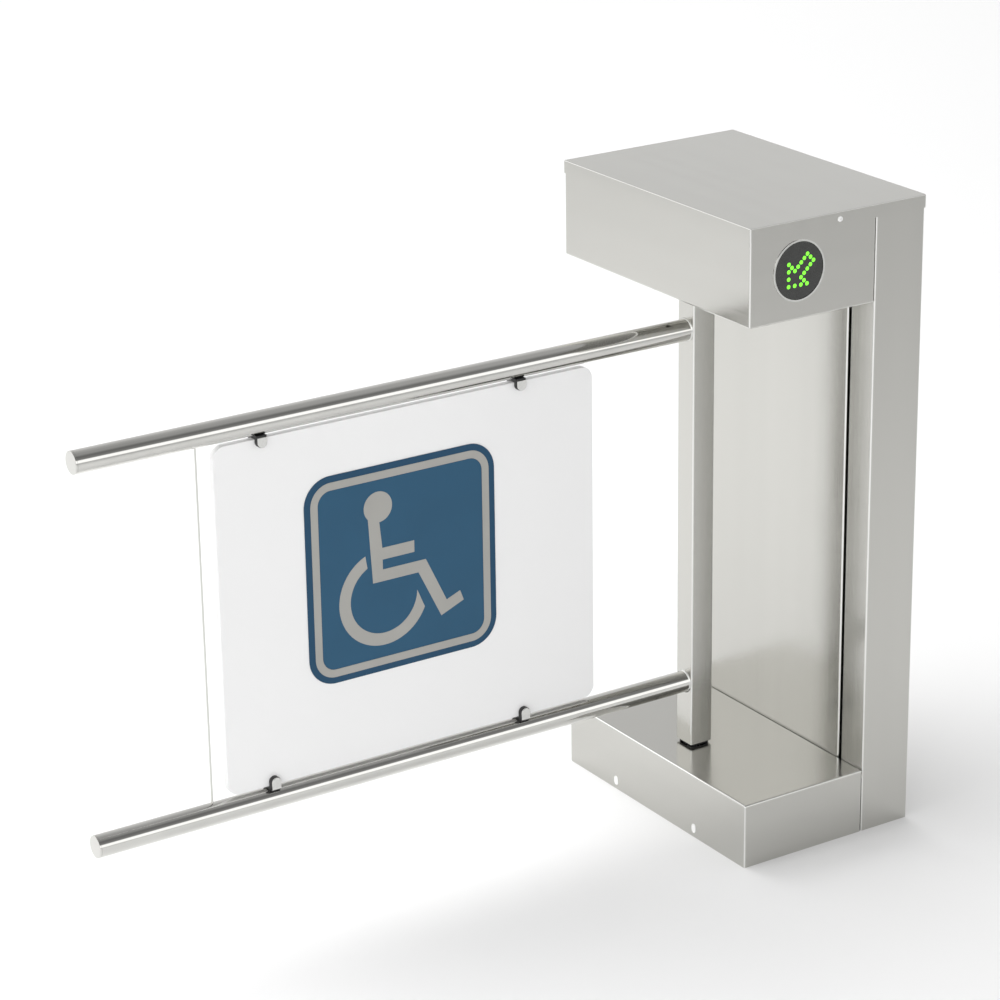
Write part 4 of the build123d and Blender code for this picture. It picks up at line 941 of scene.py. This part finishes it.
def d_block(name, x, depth, flat, end, radius):
    """A D-shaped block: flat beside the bar, round over the panel."""
    inward = 1 if end > flat else -1
    centre = end - inward * radius
    piece = round_bar(name, (x, depth[0], centre), (x, depth[1], centre), radius, 48)
    pick(piece, "VERT", lambda v: (v.z - centre) * inward < -SNAP)
    bpy.ops.transform.resize(value=(1, 1, 0), center_override=(x, 0, flat))
    leave()
    return piece


def make_clamp_pair(level_name, inward):
    low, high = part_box(f"{level_name}_clamps")
    bar_low, bar_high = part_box(f"{level_name}_bar")
    bar_middle = (bar_low + bar_high) / 2
    panel_low, panel_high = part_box("infill_panel")
    flat, end = (high.z, low.z) if inward < 0 else (low.z, high.z)
    plates_low, plates_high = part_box("clamp_plates")
    pieces, plates = [], []
    for x in (low.x + CLAMP_WIDTH / 2, high.x - CLAMP_WIDTH / 2):
        clamp = d_block("clamp", x, (low.y, high.y), flat, end, CLAMP_WIDTH / 2)
        round_edges(clamp, lambda m, d: abs(d.y) < 0.1 and near(abs(m.y), high.y), EASE_SMALL, 2)
        seat = round_bar("seat", (x - CUT_REACH, 0, bar_middle.z), (x + CUT_REACH, 0, bar_middle.z),
                         (bar_high.z - bar_low.z) / 2 + RUNNING_FIT, 96)
        edge = panel_high.z if inward < 0 else panel_low.z
        deep = edge + inward * 0.05
        groove = block("groove", (x - CUT_REACH, panel_low.y - PANEL_FIT, min(edge, deep)),
                       (x + CUT_REACH, panel_high.y + PANEL_FIT, max(edge, deep)))
        cut(clamp, seat, groove)
        smooth(clamp)
        pieces.append(clamp)
        plate_flat = bar_middle.z + inward * (abs(flat - bar_middle.z) + CLAMP_PLATE_SETBACK)
        for near_face, far_face in ((low.y, plates_low.y), (high.y, plates_high.y)):
            plate = d_block("clamp_plate", x, sorted((near_face, far_face)), plate_flat,
                            end - inward * CLAMP_PLATE_RIM, CLAMP_WIDTH / 2 - CLAMP_PLATE_RIM)
            round_edges(plate, lambda m, d: abs(d.y) < 0.1 and near(m.y, far_face), CLAMP_PLATE_RIM, 3)
            smooth(plate)
            plates.append(plate)
    clamps = fuse(f"{level_name}_bar_clamps", pieces)
    fit(clamps, plastic_finish, "gate", "black_plastic", f"{level_name}_clamps")
    return plates


def make_clamps():
    plates = fuse("clamp_cover_plates", make_clamp_pair("upper", -1) + make_clamp_pair("lower", 1))
    fit(plates, clamp_finish, "gate", "polished_stainless", "clamp_plates")


def socket_screw(name, face, outward, radius, height, socket):
    """A button head on a face, with a hexagon socket. The shank stays inside what it holds."""
    face, outward = Vector(face), Vector(outward)
    head = round_bar(name, face, face + outward * height, radius, 32)
    top = face + outward * height
    pick(head, "EDGE", lambda m, d: abs(d.dot(outward)) < 0.1 and (m - face).dot(outward) > height * 0.9)
    bpy.ops.mesh.bevel(offset=height * 0.7, offset_type="OFFSET", segments=4, profile=0.5, affect="EDGES")
    leave()
    key = round_bar("key", top - outward * height * 0.6, top + outward * height, socket, 6)
    cut(head, key)
    smooth(head)
    return head


def make_clamp_screws():
    low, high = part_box("clamp_screws")
    _, plates_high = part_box("clamp_plates")
    heads = []
    for x in (low.x + CLAMP_SCREW_HEAD, high.x - CLAMP_SCREW_HEAD):
        for z in (low.z + CLAMP_SCREW_HEAD, high.z - CLAMP_SCREW_HEAD):
            heads.append(socket_screw("screw", (x, plates_high.y, z), (0, 1, 0), CLAMP_SCREW_HEAD,
                                      high.y - plates_high.y, SCREW_SOCKET))
    screws = fuse("clamp_button_screws", heads)
    fit(screws, screw_finish, "gate", "screw_stainless", "clamp_screws")


def make_sign():
    low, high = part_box("sign_plate")
    plate = block("sign_backing", low, high)
    round_edges(plate, lambda m, d: along(d, 1), SIGN_CORNER, 14)
    round_edges(plate, lambda m, d: abs(d.y) < 0.1 and near(m.y, low.y), EASE_SIGN, 2)
    smooth(plate)
    fit(plate, rim_ink, "gate", "sign_blue", "sign_plate")

    field = block("sign_field", (low.x + FIELD_INSET, low.y - FIELD_PROUD, low.z + FIELD_INSET),
                  (high.x - FIELD_INSET, low.y + FIELD_SUNK, high.z - FIELD_INSET))
    round_edges(field, lambda m, d: along(d, 1), SIGN_CORNER - FIELD_INSET, 12)
    smooth(field)
    fit(field, field_ink, "gate", "sign_blue")


make_panel()
make_clamps()
make_clamp_screws()
make_sign()

# ---------------------------------------------------------------- indicators


def ring(name, middle, outward, inner, outer, depth):
    """A flat ring proud of a face, eased at its outer rim."""
    middle, outward = Vector(middle), Vector(outward)
    body = round_bar(name, middle, middle + outward * depth, outer, 96)
    hole = round_bar("hole", middle - outward * depth, middle + outward * 2 * depth, inner, 96)
    cut(body, hole)
    axis = 1
    level = (middle + outward * depth)[axis]
    round_edges(body, lambda m, d: near(m[axis], level) and abs(d[axis]) < 0.1, EASE_SMALL, 3)
    return body


def make_indicator():
    low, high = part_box("indicator_bezels")
    cover_low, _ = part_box("head_cover")
    lens_low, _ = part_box("indicator_lenses")
    middle = (low + high) / 2
    outer = (high.x - low.x) / 2
    window_radius = outer - WINDOW_INSET
    face = Vector((middle.x, cover_low.y, middle.z))
    bezel = ring("bezel", face, (0, -1, 0), window_radius, outer, cover_low.y - low.y)
    barrel = round_bar("barrel", face, face + Vector((0, BARREL_LENGTH, 0)), window_radius + BARREL_WALL, 96)
    bore = round_bar("bore", face - Vector((0, BARREL_LENGTH / 4, 0)), face + Vector((0, BARREL_LENGTH * 1.5, 0)),
                     window_radius, 96)
    cut(barrel, bore)
    bezel = fuse("bezel", [bezel, barrel])
    smooth(bezel)
    bezels = fuse("bezel_rings", [bezel, copy_mirrored_y(bezel)])
    fit(bezels, screw_finish, "cabinet", "screw_stainless", "indicator_bezels")

    window = round_bar("window", (middle.x, lens_low.y, middle.z),
                       (middle.x, lens_low.y + WINDOW_THICKNESS, middle.z), window_radius - 4 * RUNNING_FIT, 96)
    round_edges(window, lambda m, d: near(m.y, lens_low.y) and abs(d.y) < 0.1, WINDOW_EASE, 3)
    smooth(window)
    windows = fuse("smoked_windows", [window, copy_mirrored_y(window)])
    fit(windows, window_finish, "cabinet", "smoked_lens", "indicator_lenses")


LED_STEP = 5.5 * MM
ARROW_SIDE = 6 * LED_STEP
ARROW_TIP = (-18.7 * MM, -21.3 * MM)
ARROW_LEGS = [((1, -1), 2), ((1, 1), 4), ((1, -1), 2), ((-1, -1), 4), ((1, -1), 2)]


def arrow_places():
    """The lit dots about the window's middle: an outlined arrow that points down and towards the gate."""
    x, z = ARROW_TIP[0], ARROW_TIP[1] + ARROW_SIDE
    places = [(x, z)]
    for (step_x, step_z), count in ARROW_LEGS:
        for _ in range(count):
            x, z = x + step_x * LED_STEP, z + step_z * LED_STEP
            places.append((x, z))
    for third in (1, 2):
        places.append((ARROW_TIP[0] + ARROW_SIDE * third / 3, ARROW_TIP[1]))
        places.append((ARROW_TIP[0], ARROW_TIP[1] + ARROW_SIDE * third / 3))
    return places + [ARROW_TIP]


def make_leds():
    low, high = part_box("indicator_bezels")
    middle = (low + high) / 2
    lens_low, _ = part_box("indicator_lenses")
    bpy.ops.object.select_all(action="DESELECT")
    bpy.ops.mesh.primitive_uv_sphere_add(segments=20, ring_count=10, radius=LED_RADIUS,
                                         location=(0, 0, 0), rotation=(math.pi / 2, 0, 0))
    dome = bpy.context.object
    bpy.ops.object.transform_apply(location=True, rotation=True, scale=True)
    dome.data.transform(Matrix.Scale(0.3, 4, (0, 1, 0)))
    smooth(dome, 60, False)
    domes = [copy_moved(dome, (middle.x + x, lens_low.y + LED_PROUD, middle.z + z)) for x, z in arrow_places()]
    bpy.data.objects.remove(dome)
    lit = fuse("led_domes", domes)
    both = fuse("led_domes", [lit, copy_mirrored_y(lit)])
    fit(both, led_finish, "cabinet", "led_green", "indicator_leds")


make_indicator()
make_leds()

# ---------------------------------------------------------------- screws


def make_lid_screws():
    low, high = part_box("lid_screws")
    lid_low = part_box("lid")[0]
    middle = (low + high) / 2
    radius = (high.x - low.x) / 2
    screw = socket_screw("screw", (middle.x, lid_low.y, middle.z), (0, -1, 0), radius, lid_low.y - low.y,
                         SCREW_SOCKET)
    screws = fuse("lid_button_screws", [screw, copy_mirrored_y(screw)])
    fit(screws, nylon_finish, "cabinet", "white_nylon", "lid_screws")


def make_base_rivets():
    """Push rivets whose round-ended heads cover the slots in the base cover."""
    low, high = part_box("base_rivets")
    cover_low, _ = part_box("base_cover")
    level = (low.z + high.z) / 2
    heads = []
    for hand in (-1, 1):
        place = Vector((cover_low.x, hand * (high.y - SLOT_WIDTH / 2 - RIVET_FLANGE), level))
        head = obround(place, (-RIVET_HEAD, 0), SLOT_WIDTH + 2 * RIVET_FLANGE, SLOT_HEIGHT + 2 * RIVET_FLANGE)
        round_edges(head, lambda m, d: abs(d.x) < 0.1 and m.x < low.x + SNAP, EASE_SMALL, 3)
        smooth(head)
        plug = obround(place, (0, TAB_DEPTH), SLOT_WIDTH - PLUG_PLAY, SLOT_HEIGHT - PLUG_PLAY)
        smooth(plug)
        heads += [head, plug]
    rivets = fuse("base_push_rivets", heads)
    fit(rivets, nylon_finish, "cabinet", "white_nylon", "base_rivets")


make_lid_screws()
make_base_rivets()
